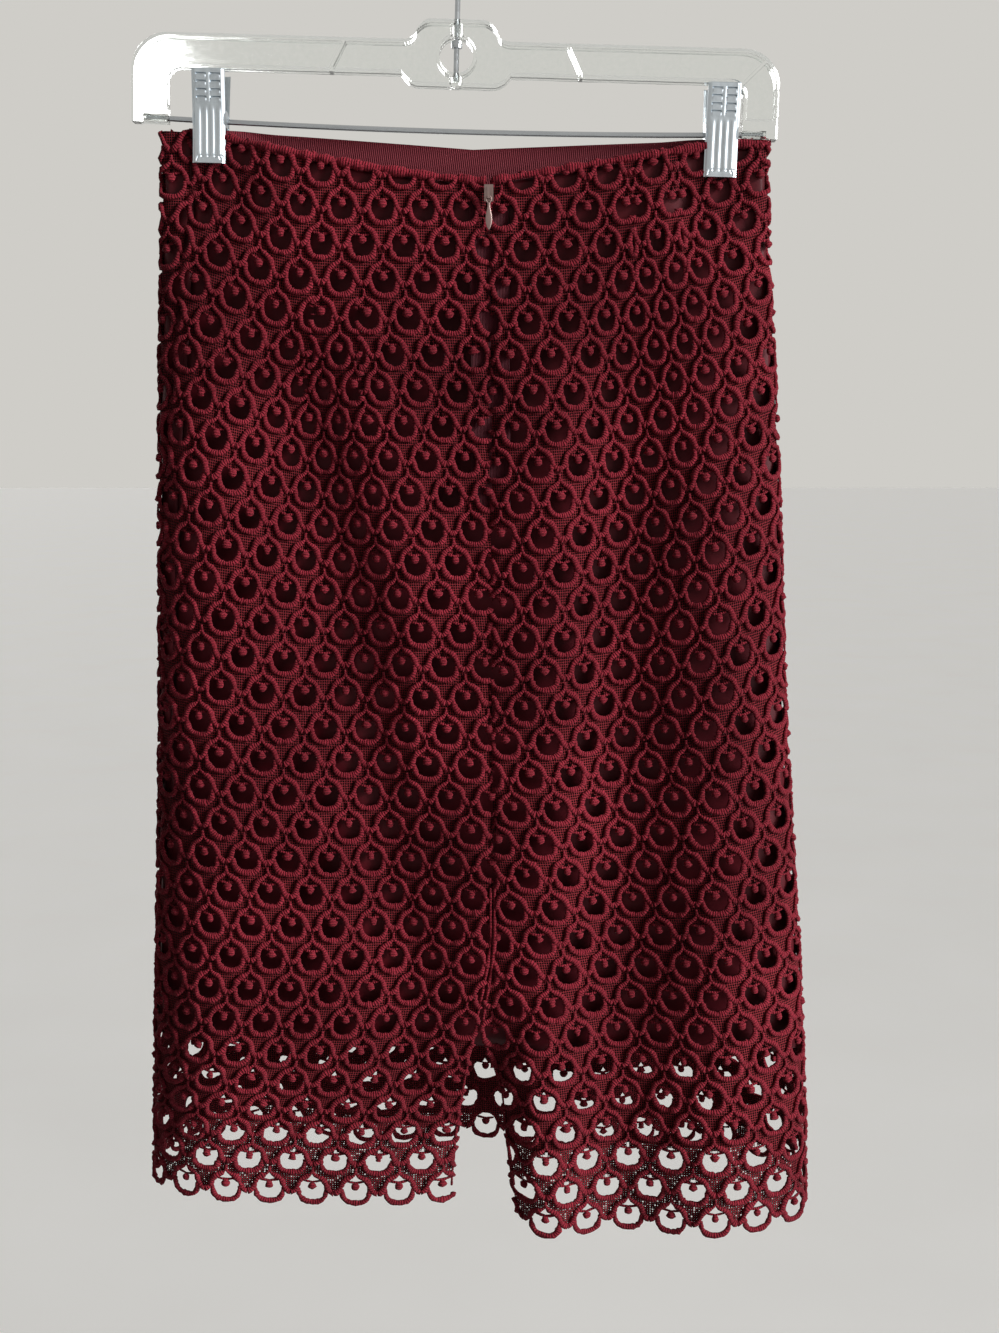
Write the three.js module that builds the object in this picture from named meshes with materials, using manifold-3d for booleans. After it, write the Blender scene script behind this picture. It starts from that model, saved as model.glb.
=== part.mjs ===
// A lace pencil skirt hanging by two clips from a moulded skirt hanger, seen from its back when
// looking along +Y. Millimetres, +Z up. The origin is the point where a rail carries the hook.
import * as THREE from 'three';
import { mergeVertices } from 'three/addons/utils/BufferGeometryUtils.js';
import Module from 'manifold-3d';

const wasm = await Module();
wasm.setup();

// ---- Driving dimensions ---------------------------------------------------------------------

const SEAM_GAP = 0.3;
const TILT = THREE.MathUtils.degToRad(1.6);

// The tube of the skirt, level by level. `down` is measured from the waist line.
const SECTIONS = [
  { down: 0,   halfWidth: 167.5, back: 7.5, front: 8.5, centreX: 1.5, twist: 0 },
  { down: 45,  halfWidth: 168.5, back: 11,  front: 14,  centreX: 2,   twist: 0 },
  { down: 110, halfWidth: 172,   back: 16,  front: 26,  centreX: 2.5, twist: 1 },
  { down: 200, halfWidth: 176.5, back: 20,  front: 40, centreX: 3.5, twist: 2 },
  { down: 330, halfWidth: 182,   back: 24,  front: 52, centreX: 5,   twist: 4 },
  { down: 460, halfWidth: 190,   back: 29,  front: 62, centreX: 7,   twist: 6 },
  { down: 560, halfWidth: 195,   back: 33,  front: 68, centreX: 7.5, twist: 8 },
  { down: 622, halfWidth: 197,   back: 30,  front: 70, centreX: 7.5, twist: 8 },
];
const SIDE_ROUNDING = 7;
const SIDE_ROUNDING_LINING = 6;
const EDGE_CROWDING = 2.2;
const SKIRT_LENGTH = 619;
const ROW_CROWDING = 1.5;
const LINING_LENGTH = 516;

// Soft folds: a ridge stands away from the body of the skirt, a trough (negative) sinks into it.
// Each runs from `topX` at the waist to `hemX` at the hem and is full-sized at `full` and below.
const BACK_FOLDS = [
  { topX: -140, hemX: -150, width: 26, height: 4,  start: 30, full: 150 },
  { topX: -128, hemX: 5,    width: 34, height: -9, start: 30, full: 150 },
  { topX: -72,  hemX: 38,   width: 26, height: 5,  start: 40, full: 200 },
  { topX: 15,   hemX: 18,   width: 13, height: -4, start: 40, full: 160 },
  { topX: 50,   hemX: 44,   width: 24, height: 5,  start: 40, full: 200 },
  { topX: 91,   hemX: 93,   width: 28, height: -9, start: 30, full: 150 },
  { topX: 146,  hemX: 150,  width: 22, height: 5,  start: 60, full: 260 },
];
const FRONT_FOLDS = [
  { topX: -120, hemX: -128, width: 30, height: 6,  start: 50, full: 220 },
  { topX: -70,  hemX: -62,  width: 26, height: -8, start: 40, full: 180 },
  { topX: 5,    hemX: -4,   width: 34, height: 6,  start: 60, full: 240 },
  { topX: 70,   hemX: 78,   width: 26, height: -9, start: 40, full: 200 },
  { topX: 128,  hemX: 134,  width: 30, height: 5,  start: 60, full: 260 },
];
const LINING_FOLD_SHARE = 0.2;

// The waist line leans with the hanger and dips at the centre back, where nothing holds it up.
const WAIST = { z: -138, lean: 0.018, sideLift: 2.2, liftPower: 6 };
const BACK_DIP = { depth: 22, leftReach: 150, leftPower: 1.5, rightReach: 125, rightPower: 1 };
const FRONT_DIP = { depth: 6, reach: 150 };

// Centre back: where the seam runs, and how the vent below it opens.
const CENTRE_BACK = { topX: 15, hemX: 18 };
const BACK_PANEL_SHARE = 0.244;
const VENT = { top: 446, leftOpening: 26, rightOpening: 15, leftCurl: 5, rightCurl: 16,
  leftCurlWidth: 16, rightCurlWidth: 34 };

const LACE = { thickness: 2.6 };
const LINING = { thickness: 1, gap: 0.9, slack: 8.5, slackStart: 10, slackReach: 100, sideInset: 8,
  top: 1.5, frontTop: 31.5 };
const FACING = { thickness: 1, gap: 0.5, depth: 30, rightEnd: 18, leftEnd: 34 };
const ZIP = { tapeWidth: 22, tapeThickness: 0.8, length: 180, headDown: 29 };
const SLIDER = { width: 5, height: 9, thickness: 1.6, bridgeWidth: 1.6, bridgeHalfLength: 3.2,
  bridgeWall: 1, bridgeRoom: 1.8, clearSide: 3, clearDown: 6, clearance: 0.45 };
const PULL = { thickness: 0.9, eyeHalfWidth: 1.7, eyeHoleHalfWidth: 1.15, eyeHoleLength: 3.6, bar: 0.9,
  neckHalfWidth: 1.15, neckZ: -6.5, lobeRadius: 1.85, length: 19 };

const HANGER = {
  halfLength: 177.4, topZ: -85.3, bottomZ: -103.4, depth: 9, wall: 2, web: 2,
  armWidth: 19.4, armBottomZ: -132.5, socketTopZ: -122, outerRadius: 20, innerRadius: 7,
  humpTopZ: -74.3, humpHalfWidth: 14, humpFootHalfWidth: 30, bellyZ: -109.5, bellyHalfWidth: 20,
  ribTopX: 60.5, ribBottomX: 69.5, ribThickness: 1.6,
  windowZ: -93, windowRadius: 9.4, windowRim: 1.8, bossRadius: 3.85,
  humpSlope: 8, humpFootEase: 7, humpCrownEase: 4, bellyEase: 4,
  cornerRibTopX: 11, cornerRibTopDrop: 7, cornerRibBottomX: 1, cornerRibBottomLift: 1,
  socketX: 6, socketLead: 2, socketPast: 1.5, socketRoom: 0.7,
};
const HOOK = { wire: 3, insideRadius: 21, returnRadius: 10, tipAngle: -28, endZ: -106,
  collarRadius: 3, collarTopZ: -85, collarBottomZ: -88.5 };
const ROD = { diameter: 3, halfLength: 170, endZ: -129.6, sag: 3 };
const CLIPS = [
  { side: 'left', x: -134.5 },
  { side: 'right', x: 146.7 },
];
const CLIP = { width: 18, above: 26, below: 23.3, gripDepth: 14, plate: 1.1, gripY: 5.5,
  pivotY: 6.4, topY: 10.4, pinch: 3.8, pinchWidth: 25, pinchDown: 46,
  waistLift: 2, earThickness: 0.8, earReach: 4.4, earHeight: 9, earLift: 0.5,
  springRadius: 3.7, springWidth: 12, rodRoom: 0.6 };
const RUNNING_GAP = 0.35;
const CUT_PAST = 1;

// ---- Materials ------------------------------------------------------------------------------

const material = (color, roughness, metalness, extra = {}) =>
  new THREE.MeshStandardMaterial({ color, roughness, metalness, ...extra });
const MATERIALS = {
  lace: material(0x7d1f2c, 0.85, 0),
  lining: material(0x6b1220, 0.5, 0),
  ribbon: material(0x74202b, 0.6, 0),
  tape: material(0x5c1a26, 0.8, 0),
  sliderMetal: material(0xc9a9a0, 0.3, 1),
  clipSteel: material(0xd4d7da, 0.28, 1),
  rodSteel: material(0x9da3a8, 0.2, 1),
  clearPlastic: material(0xf2f6f5, 0.08, 0, { transparent: true, opacity: 0.35 }),
};

// ---- Small helpers --------------------------------------------------------------------------

const mix = (a, b, t) => a + (b - a) * t;
const clamp01 = (t) => Math.min(1, Math.max(0, t));
const smooth = (t) => clamp01(t) ** 2 * (3 - 2 * clamp01(t));

function named(name, geometry, kind) {
  const mesh = new THREE.Mesh(geometry, MATERIALS[kind]);
  mesh.name = name;
  return mesh;
}

// A smooth curve through one column of SECTIONS (Catmull-Rom with uneven spacing).
function column(key, down) {
  const last = SECTIONS.length - 1;
  let i = 0;
  while (i < last - 1 && down > SECTIONS[i + 1].down) i += 1;
  const slopeAt = (k) => {
    const a = SECTIONS[Math.max(0, k - 1)];
    const b = SECTIONS[Math.min(last, k + 1)];
    return (b[key] - a[key]) / (b.down - a.down);
  };
  const a = SECTIONS[i];
  const b = SECTIONS[i + 1];
  const h = b.down - a.down;
  const t = (down - a.down) / h;
  const t2 = t * t;
  const t3 = t2 * t;
  return (2 * t3 - 3 * t2 + 1) * a[key] + (t3 - 2 * t2 + t) * h * slopeAt(i)
    + (3 * t2 - 2 * t3) * b[key] + (t3 - t2) * h * slopeAt(i + 1);
}

// ---- The form of the skirt ------------------------------------------------------------------

// 1 where the jaws hold the cloth together, fading to 0 around them.
function pinch(x, down) {
  const fade = Math.exp(-((down / CLIP.pinchDown) ** 4));
  const near = (clip) => Math.exp(-(((x - clipWorldX(clip)) / CLIP.pinchWidth) ** 4));
  return fade * Math.max(...CLIPS.map(near));
}

function clipWorldX(clip) {
  const gripZ = ROD.endZ - CLIP.below + CLIP.gripDepth / 2;
  return clip.x * Math.cos(TILT) + gripZ * Math.sin(TILT);
}

function foldHeight(folds, x, down) {
  let height = 0;
  for (const fold of folds) {
    const centre = mix(fold.topX, fold.hemX, down / SKIRT_LENGTH);
    const grown = smooth((down - fold.start) / (fold.full - fold.start));
    height += fold.height * grown * Math.exp(-(((x - centre) / fold.width) ** 2));
  }
  return height;
}

// One point of a level ring. turn runs 0..1 from the left edge over the back to the right edge,
// and 1..2 back again over the front. `layer` is LACE_FORM or LINING_FORM.
const LACE_FORM = { inset: 0, rounding: SIDE_ROUNDING, slack: 0, folds: 1 };
const LINING_FORM = { inset: LINING.sideInset, rounding: SIDE_ROUNDING_LINING, slack: LINING.slack,
  folds: LINING_FOLD_SHARE };

function ringPoint(turn, down, layer) {
  const onBack = turn <= 1;
  const across = -Math.cos(Math.PI * turn);
  const halfWidth = column('halfWidth', down) - layer.inset;
  // Points crowd towards the two edges, where the ring turns round.
  const share = Math.sign(across) * Math.abs(across) ** (EDGE_CROWDING / layer.rounding);
  const x = column('centreX', down) + halfWidth * share;
  const body = Math.sqrt(Math.max(0, 1 - Math.abs(share) ** layer.rounding));
  const held = pinch(x, down);
  const inner = LACE.thickness / 2 + LINING.gap + LINING.thickness / 2;
  const eased = smooth((down - LINING.slackStart) / LINING.slackReach);
  const give = layer.slack > 0 ? inner + layer.slack * (1 - held) * eased : 0;
  const full = column(onBack ? 'back' : 'front', down);
  const free = full + layer.folds * foldHeight(onBack ? BACK_FOLDS : FRONT_FOLDS, x, down);
  const depth = (mix(free, CLIP.pinch, held) - give) * body;
  const twist = column('twist', down) * (x - column('centreX', down)) / halfWidth;
  return [x, (onBack ? -depth : depth) - twist];
}

const RING_STEPS = 360;
const ringCache = new Map();

// The ring at one level, measured along its cloth: s is 0 at the centre back seam, grows to the
// right and is negative to the left.
function ring(down, layer) {
  const key = `${down.toFixed(3)} ${layer.inset}`;
  if (!ringCache.has(key)) {
    const points = [];
    for (let i = 0; i <= RING_STEPS; i += 1) {
      points.push(ringPoint((2 * i) / RING_STEPS, down, layer));
    }
    const lengths = [0];
    for (let i = 1; i <= RING_STEPS; i += 1) {
      const [ax, ay] = points[i - 1];
      const [bx, by] = points[i];
      lengths.push(lengths[i - 1] + Math.hypot(bx - ax, by - ay));
    }
    const seamX = mix(CENTRE_BACK.topX, CENTRE_BACK.hemX, down / SKIRT_LENGTH);
    let seam = 1;
    while (points[seam][0] < seamX) seam += 1;
    const part = (seamX - points[seam - 1][0]) / (points[seam][0] - points[seam - 1][0]);
    const zero = mix(lengths[seam - 1], lengths[seam], part);
    ringCache.set(key, { points, lengths, zero, girth: lengths[RING_STEPS] });
  }
  return ringCache.get(key);
}

function onRing(s, down, layer) {
  const { points, lengths, zero, girth } = ring(down, layer);
  const target = (((zero + s) % girth) + girth) % girth;
  let low = 0;
  let high = RING_STEPS;
  while (high - low > 1) {
    const middle = (low + high) >> 1;
    if (lengths[middle] <= target) low = middle;
    else high = middle;
  }
  const part = (target - lengths[low]) / (lengths[high] - lengths[low]);
  return [mix(points[low][0], points[high][0], part), mix(points[low][1], points[high][1], part)];
}

// How far the two edges of the vent stand from the centre back line at this level.
function ventOpening(down, side) {
  const t = clamp01((down - VENT.top) / (SKIRT_LENGTH - VENT.top));
  return side < 0 ? VENT.leftOpening * Math.sin(t * Math.PI / 2) ** 1.3 : VENT.rightOpening * t ** 2;
}

// The vent's edges turn in towards the front. The lining, uncut, gives way to the deeper curl.
function ventCurl(s, down, layer) {
  const side = layer === LACE_FORM && s < 0 ? -1 : 1;
  const grown = smooth((down - VENT.top) / (SKIRT_LENGTH - VENT.top));
  const width = side < 0 ? VENT.leftCurlWidth : VENT.rightCurlWidth;
  const curl = side < 0 ? VENT.leftCurl : VENT.rightCurl;
  const fromEdge = Math.max(0, Math.abs(s) - ventOpening(down, side));
  return curl * grown * clamp01(1 - fromEdge / width) ** 2;
}

function surface(s, down, layer) {
  const [x, y] = onRing(s, down, layer);
  const lean = WAIST.lean * (1 - 0.4 * (down / SKIRT_LENGTH));
  const side = Math.abs((x - column('centreX', down)) / column('halfWidth', down));
  const lift = WAIST.sideLift * side ** WAIST.liftPower * (1 - down / SKIRT_LENGTH);
  return new THREE.Vector3(x, y + ventCurl(s, down, layer), WAIST.z - lean * x + lift - down);
}

// The outward normal, from small steps along and down the cloth.
function outward(s, down, layer) {
  const step = 0.8;
  const along = surface(s + step, down, layer).sub(surface(s - step, down, layer));
  const downward = surface(s, down + step, layer).sub(surface(s, down - step, layer));
  return downward.cross(along).normalize();
}

function waistDip(x, onBack) {
  if (!onBack) return FRONT_DIP.depth * clamp01(1 - Math.abs(x) / FRONT_DIP.reach) ** 1.2;
  const offset = x - CENTRE_BACK.topX;
  const reach = offset < 0 ? BACK_DIP.leftReach : BACK_DIP.rightReach;
  const power = offset < 0 ? BACK_DIP.leftPower : BACK_DIP.rightPower;
  return BACK_DIP.depth * clamp01(1 - (Math.abs(offset) / reach) ** power);
}

const seamAt = (down, layer) => BACK_PANEL_SHARE * ring(down, layer).girth;

// A wall of cloth between two seams. `from` and `to` give s at a level, `top` and `bottom` the
// first and last level at a place across; `offset` moves its middle outwards along the normal.
function wall({ layer, from, to, top, bottom, offset, thickness, across, along }) {
  const positions = [];
  const triangles = [];
  const row = across + 1;
  const count = row * (along + 1);
  for (const side of [0.5, -0.5]) {
    for (let j = 0; j <= along; j += 1) {
      for (let i = 0; i <= across; i += 1) {
        const u = i / across;
        const first = top(u);
        const down = mix(first, bottom(u), (j / along) ** ROW_CROWDING);
        const s = mix(from(down), to(down), u);
        const normal = outward(s, down, layer);
        const point = surface(s, down, layer).addScaledVector(normal, offset + side * thickness);
        positions.push(point.x, point.y, point.z);
      }
    }
  }
  const quad = (a, b, c, d) => triangles.push(a, b, c, a, c, d);
  for (let j = 0; j < along; j += 1) {
    for (let i = 0; i < across; i += 1) {
      const a = j * row + i;
      quad(a, a + row, a + row + 1, a + 1);
      quad(count + a, count + a + 1, count + a + row + 1, count + a + row);
    }
  }
  for (let i = 0; i < across; i += 1) {
    const low = along * row + i;
    quad(i, i + 1, count + i + 1, count + i);
    quad(low, count + low, count + low + 1, low + 1);
  }
  for (let j = 0; j < along; j += 1) {
    const left = j * row;
    const right = left + across;
    quad(left, count + left, count + left + row, left + row);
    quad(right, right + row, count + right + row, count + right);
  }
  const geometry = new THREE.BufferGeometry();
  geometry.setAttribute('position', new THREE.Float32BufferAttribute(positions, 3));
  geometry.setIndex(triangles);
  return geometry;
}

function backTop(side) {
  return (u) => {
    const reach = seamAt(0, LACE_FORM);
    const share = side < 0 ? 1 - u : u;
    const [x] = onRing(side * share * reach, 0, LACE_FORM);
    return waistDip(x, true);
  };
}

function frontTop(extra = 0) {
  return (u) => {
    const { girth } = ring(0, LACE_FORM);
    const seam = seamAt(0, LACE_FORM);
    const [x] = onRing(mix(seam, girth - seam, u), 0, LACE_FORM);
    return waistDip(x, false) + extra;
  };
}

function laceBack(name, side) {
  const edge = (down) => side * (SEAM_GAP / 2 + ventOpening(down, side));
  const seam = (down) => side * (seamAt(down, LACE_FORM) - SEAM_GAP / 2);
  return named(name, wall({
    layer: LACE_FORM,
    from: side < 0 ? seam : edge,
    to: side < 0 ? edge : seam,
    top: backTop(side),
    bottom: () => SKIRT_LENGTH,
    offset: 0,
    thickness: LACE.thickness,
    across: 14,
    along: 20,
  }), 'lace');
}

function laceFront() {
  return named('front_panel', wall({
    layer: LACE_FORM,
    from: (down) => seamAt(down, LACE_FORM) + SEAM_GAP / 2,
    to: (down) => ring(down, LACE_FORM).girth - seamAt(down, LACE_FORM) - SEAM_GAP / 2,
    top: frontTop(),
    bottom: () => SKIRT_LENGTH,
    offset: 0,
    thickness: LACE.thickness,
    across: 36,
    along: 18,
  }), 'lace');
}

function liningPanel(name, onBack) {
  const seam = (down) => seamAt(down, LINING_FORM);
  const girth = (down) => ring(down, LINING_FORM).girth;
  const under = onBack ? LINING.top : LINING.frontTop;
  const top = (u) => {
    const { girth: around } = ring(0, LINING_FORM);
    const reach = seamAt(0, LINING_FORM);
    const s = onBack ? mix(-reach, reach, u) : mix(reach, around - reach, u);
    const [x] = onRing(s, 0, LINING_FORM);
    return waistDip(x, onBack) + under;
  };
  return named(name, wall({
    layer: LINING_FORM,
    from: (down) => (onBack ? -seam(down) : seam(down)) + SEAM_GAP / 2,
    to: (down) => (onBack ? seam(down) : girth(down) - seam(down)) - SEAM_GAP / 2,
    top,
    bottom: () => LINING_LENGTH,
    offset: 0,
    thickness: LINING.thickness,
    across: 26,
    along: 16,
  }), 'lining');
}

function waistFacing() {
  return named('waist_facing', wall({
    layer: LACE_FORM,
    from: (down) => seamAt(down, LACE_FORM) + FACING.rightEnd,
    to: (down) => ring(down, LACE_FORM).girth - seamAt(down, LACE_FORM) - FACING.leftEnd,
    top: frontTop(0.4),
    bottom: (u) => frontTop(FACING.depth)(u),
    offset: -(LACE.thickness / 2 + FACING.gap + FACING.thickness / 2),
    thickness: FACING.thickness,
    across: 32,
    along: 3,
  }), 'ribbon');
}

function zipTape() {
  const half = ZIP.tapeWidth / 2;
  return named('zip_tape', wall({
    layer: LACE_FORM,
    from: () => -half,
    to: () => half,
    top: () => BACK_DIP.depth + 2,
    bottom: () => BACK_DIP.depth + ZIP.length,
    offset: -(LACE.thickness / 2 + SEAM_GAP + ZIP.tapeThickness / 2),
    thickness: ZIP.tapeThickness,
    across: 6,
    along: 8,
  }), 'tape');
}

// ---- Solid helpers for the hard pieces ------------------------------------------------------

function solidOf(geometry) {
  const bare = geometry.clone();
  bare.deleteAttribute('normal');
  bare.deleteAttribute('uv');
  const merged = mergeVertices(bare, 1e-4);
  const mesh = new wasm.Mesh({
    numProp: 3,
    vertProperties: new Float32Array(merged.attributes.position.array),
    triVerts: new Uint32Array(merged.index.array),
  });
  return new wasm.Manifold(mesh);
}

function geometryOf(solid) {
  const mesh = solid.getMesh();
  const geometry = new THREE.BufferGeometry();
  geometry.setAttribute('position', new THREE.BufferAttribute(mesh.vertProperties, 3));
  geometry.setIndex(new THREE.BufferAttribute(mesh.triVerts, 1));
  return geometry;
}

const join = (...solids) => solids.reduce((whole, solid) => whole.add(solid));

function block(width, depth, height, x, y, z) {
  return solidOf(new THREE.BoxGeometry(width, depth, height).translate(x, y, z));
}

// A round bar along one axis, centred on a point.
function bar(radius, length, axis, x, y, z, sides = 20) {
  const cylinder = new THREE.CylinderGeometry(radius, radius, length, sides);
  if (axis === 'x') cylinder.rotateZ(Math.PI / 2);
  if (axis === 'z') cylinder.rotateX(Math.PI / 2);
  return solidOf(cylinder.translate(x, y, z));
}

// A flat outline in X and Z, given thickness along Y between two faces.
function plate(shape, nearY, farY, curveSegments = 8) {
  const depth = farY - nearY;
  const geometry = new THREE.ExtrudeGeometry(shape, { depth, bevelEnabled: false, curveSegments });
  return solidOf(geometry.rotateX(Math.PI / 2).translate(0, farY, 0));
}

// ---- Hanger ---------------------------------------------------------------------------------

// The frame's outline, drawn `inset` inside its true edge. Arms end at `armEndZ`.
function frameOutline(inset, armEndZ) {
  const h = HANGER;
  const outer = h.halfLength - inset;
  const inner = h.halfLength - h.armWidth + inset;
  const top = h.topZ - inset;
  const bottom = h.bottomZ + inset;
  const bigRadius = h.outerRadius - inset;
  const smallRadius = h.innerRadius + inset;
  const foot = h.humpFootHalfWidth;
  const slopeX = h.humpHalfWidth + h.humpSlope;
  const slopeZ = (top + h.humpTopZ) / 2;
  const crownX = h.humpHalfWidth + h.humpCrownEase;
  const crownZ = h.humpTopZ - inset;
  const bellyZ = h.bellyZ + inset;
  const shape = new THREE.Shape();
  shape.moveTo(-outer, armEndZ);
  shape.lineTo(-outer, top - bigRadius);
  shape.absarc(-outer + bigRadius, top - bigRadius, bigRadius, Math.PI, Math.PI / 2, true);
  shape.lineTo(-foot, top);
  shape.quadraticCurveTo(-foot + h.humpFootEase, top, -slopeX, slopeZ);
  shape.quadraticCurveTo(-crownX, crownZ, -h.humpHalfWidth, crownZ);
  shape.lineTo(h.humpHalfWidth, crownZ);
  shape.quadraticCurveTo(crownX, crownZ, slopeX, slopeZ);
  shape.quadraticCurveTo(foot - h.humpFootEase, top, foot, top);
  shape.lineTo(outer - bigRadius, top);
  shape.absarc(outer - bigRadius, top - bigRadius, bigRadius, Math.PI / 2, 0, true);
  shape.lineTo(outer, armEndZ);
  shape.lineTo(inner, armEndZ);
  shape.lineTo(inner, bottom - smallRadius);
  shape.absarc(inner - smallRadius, bottom - smallRadius, smallRadius, 0, Math.PI / 2, false);
  shape.lineTo(foot, bottom);
  shape.quadraticCurveTo(foot - h.bellyEase, bellyZ, h.bellyHalfWidth, bellyZ);
  shape.lineTo(-h.bellyHalfWidth, bellyZ);
  shape.quadraticCurveTo(-foot + h.bellyEase, bellyZ, -foot, bottom);
  shape.lineTo(-inner + smallRadius, bottom);
  shape.absarc(-inner + smallRadius, bottom - smallRadius, smallRadius, Math.PI / 2, Math.PI, false);
  shape.lineTo(-inner, armEndZ);
  return shape;
}

// A diagonal stiffening rib between two points of the frame, right through its depth.
function rib(fromX, fromZ, toX, toZ) {
  const length = Math.hypot(toX - fromX, toZ - fromZ) + HANGER.wall * 2;
  const box = new THREE.BoxGeometry(length, HANGER.depth, HANGER.ribThickness);
  box.rotateY(-Math.atan2(toZ - fromZ, toX - fromX));
  return solidOf(box.translate((fromX + toX) / 2, 0, (fromZ + toZ) / 2));
}

const rodZ = (x) => ROD.endZ - ROD.sag * (1 - (x / ROD.halfLength) ** 2);

function hangerFrame() {
  const h = HANGER;
  const half = h.depth / 2;
  const socket = h.socketTopZ;
  let pockets = join(
    plate(frameOutline(h.wall, socket), -half - CUT_PAST, -h.web / 2),
    plate(frameOutline(h.wall, socket), h.web / 2, half + CUT_PAST),
  );
  const corner = h.halfLength - h.outerRadius;
  const cornerTop = [corner + h.cornerRibTopX, h.topZ - h.cornerRibTopDrop];
  const cornerBottom = [corner + h.cornerRibBottomX, h.bottomZ + h.cornerRibBottomLift];
  for (const side of [-1, 1]) {
    pockets = pockets.subtract(rib(side * h.ribTopX, h.topZ, side * h.ribBottomX, h.bottomZ));
    const [[topX, topZ], [bottomX, bottomZ]] = [cornerTop, cornerBottom];
    pockets = pockets.subtract(rib(side * topX, topZ, side * bottomX, bottomZ));
  }
  const rim = bar(h.windowRadius + h.windowRim, h.depth, 'y', 0, 0, h.windowZ, 32);
  const bossHeight = h.humpTopZ - h.bellyZ;
  const boss = bar(h.bossRadius, bossHeight, 'z', 0, 0, h.humpTopZ - bossHeight / 2, 16);
  const bore = HOOK.wire / 2 + RUNNING_GAP;
  const boreFoot = HOOK.endZ - CUT_PAST;
  const boreTop = h.humpTopZ + CUT_PAST;
  let frame = plate(frameOutline(0, h.armBottomZ), -half, half).subtract(pockets);
  frame = join(frame, rim, boss);
  frame = frame.subtract(bar(h.windowRadius, h.depth * 2, 'y', 0, 0, h.windowZ, 32));
  frame = frame.subtract(bar(bore, boreTop - boreFoot, 'z', 0, 0, (boreTop + boreFoot) / 2, 12));
  const inner = h.halfLength - h.armWidth;
  const socketStart = inner - h.socketLead;
  const socketLength = ROD.halfLength + h.socketPast - socketStart;
  const socketRadius = ROD.diameter / 2 + h.socketRoom;
  for (const side of [-1, 1]) {
    const x = side * (socketStart + socketLength / 2);
    frame = frame.subtract(bar(socketRadius, socketLength, 'x', x, 0, rodZ(inner + h.socketX), 12));
  }
  return named('hanger_frame', geometryOf(frame), 'clearPlastic');
}

// The wire rises through the frame, swings back on a small arc and over on the large one.
function hook() {
  const radius = HOOK.insideRadius + HOOK.wire / 2;
  const centreZ = -HOOK.insideRadius;
  const lean = Math.acos(HOOK.returnRadius / (radius + HOOK.returnRadius));
  const turnZ = centreZ - (radius + HOOK.returnRadius) * Math.sin(lean);
  const path = new THREE.CurvePath();
  const point = (x, z) => new THREE.Vector3(x, 0, z);
  path.add(new THREE.LineCurve3(point(0, HOOK.endZ), point(0, turnZ)));
  const arc = (cx, cz, r, from, to, steps) => {
    const points = [];
    for (let i = 0; i <= steps; i += 1) {
      const angle = mix(from, to, i / steps);
      points.push(point(cx + r * Math.cos(angle), cz + r * Math.sin(angle)));
    }
    for (let i = 1; i <= steps; i += 1) path.add(new THREE.LineCurve3(points[i - 1], points[i]));
  };
  arc(-HOOK.returnRadius, turnZ, HOOK.returnRadius, 0, lean, 8);
  arc(0, centreZ, radius, Math.PI + lean, THREE.MathUtils.degToRad(HOOK.tipAngle), 36);
  const wire = sweep(path, HOOK.wire / 2, 56, 10);
  const collarHeight = HOOK.collarTopZ - HOOK.collarBottomZ;
  const collarZ = (HOOK.collarTopZ + HOOK.collarBottomZ) / 2;
  const collar = bar(HOOK.collarRadius, collarHeight, 'z', 0, 0, collarZ, 16);
  return named('hanger_hook', geometryOf(join(solidOf(wire), collar)), 'rodSteel');
}

function sweep(path, radius, steps, sides) {
  const section = new THREE.Shape();
  for (let i = 0; i < sides; i += 1) {
    const angle = (2 * Math.PI * i) / sides;
    const [x, y] = [radius * Math.cos(angle), radius * Math.sin(angle)];
    if (i === 0) section.moveTo(x, y);
    else section.lineTo(x, y);
  }
  return new THREE.ExtrudeGeometry(section, { steps, extrudePath: path, bevelEnabled: false });
}

function rod() {
  const points = [];
  for (let i = 0; i <= 12; i += 1) {
    const x = mix(-ROD.halfLength, ROD.halfLength, i / 12);
    points.push(new THREE.Vector3(x, 0, rodZ(x)));
  }
  const path = new THREE.CatmullRomCurve3(points);
  return named('hanger_rod', sweep(path, ROD.diameter / 2, 24, 10), 'rodSteel');
}

// One jaw in side view, from the lever at the top to the lip that grips the cloth.
function jaw(clip, facing) {
  const c = CLIP;
  const z = rodZ(clip.x);
  const near = [
    [c.topY, z + c.above],
    [c.pivotY, z + c.waistLift],
    [c.gripY, z - c.below + c.gripDepth],
    [c.gripY, z - c.below],
  ];
  const shape = new THREE.Shape();
  near.forEach(([y, height], i) => (i ? shape.lineTo(y, height) : shape.moveTo(y, height)));
  near.reverse().forEach(([y, height]) => shape.lineTo(y + c.plate, height));
  const body = new THREE.ExtrudeGeometry(shape, { depth: c.width, bevelEnabled: false });
  // The outline's first axis becomes Y and its second Z, and its thickness runs along X.
  const axes = [new THREE.Vector3(0, 1, 0), new THREE.Vector3(0, 0, 1), new THREE.Vector3(1, 0, 0)];
  body.applyMatrix4(new THREE.Matrix4().makeBasis(...axes)).translate(clip.x - c.width / 2, 0, 0);
  let solid = solidOf(body);
  const spread = facing < 0 ? c.width / 2 - c.earThickness / 2 : c.width / 2 - c.earThickness * 2;
  const hole = bar(ROD.diameter / 2 + c.rodRoom, c.width * 2, 'x', clip.x, 0, z, 12);
  for (const side of [-1, 1]) {
    const reach = c.pivotY + c.plate / 2 + c.earReach;
    const x = clip.x + side * spread;
    solid = solid.add(block(c.earThickness, reach, c.earHeight, x, reach / 2 - c.earReach, z + c.earLift));
  }
  return solid.subtract(hole).scale([1, facing, 1]);
}

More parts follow.
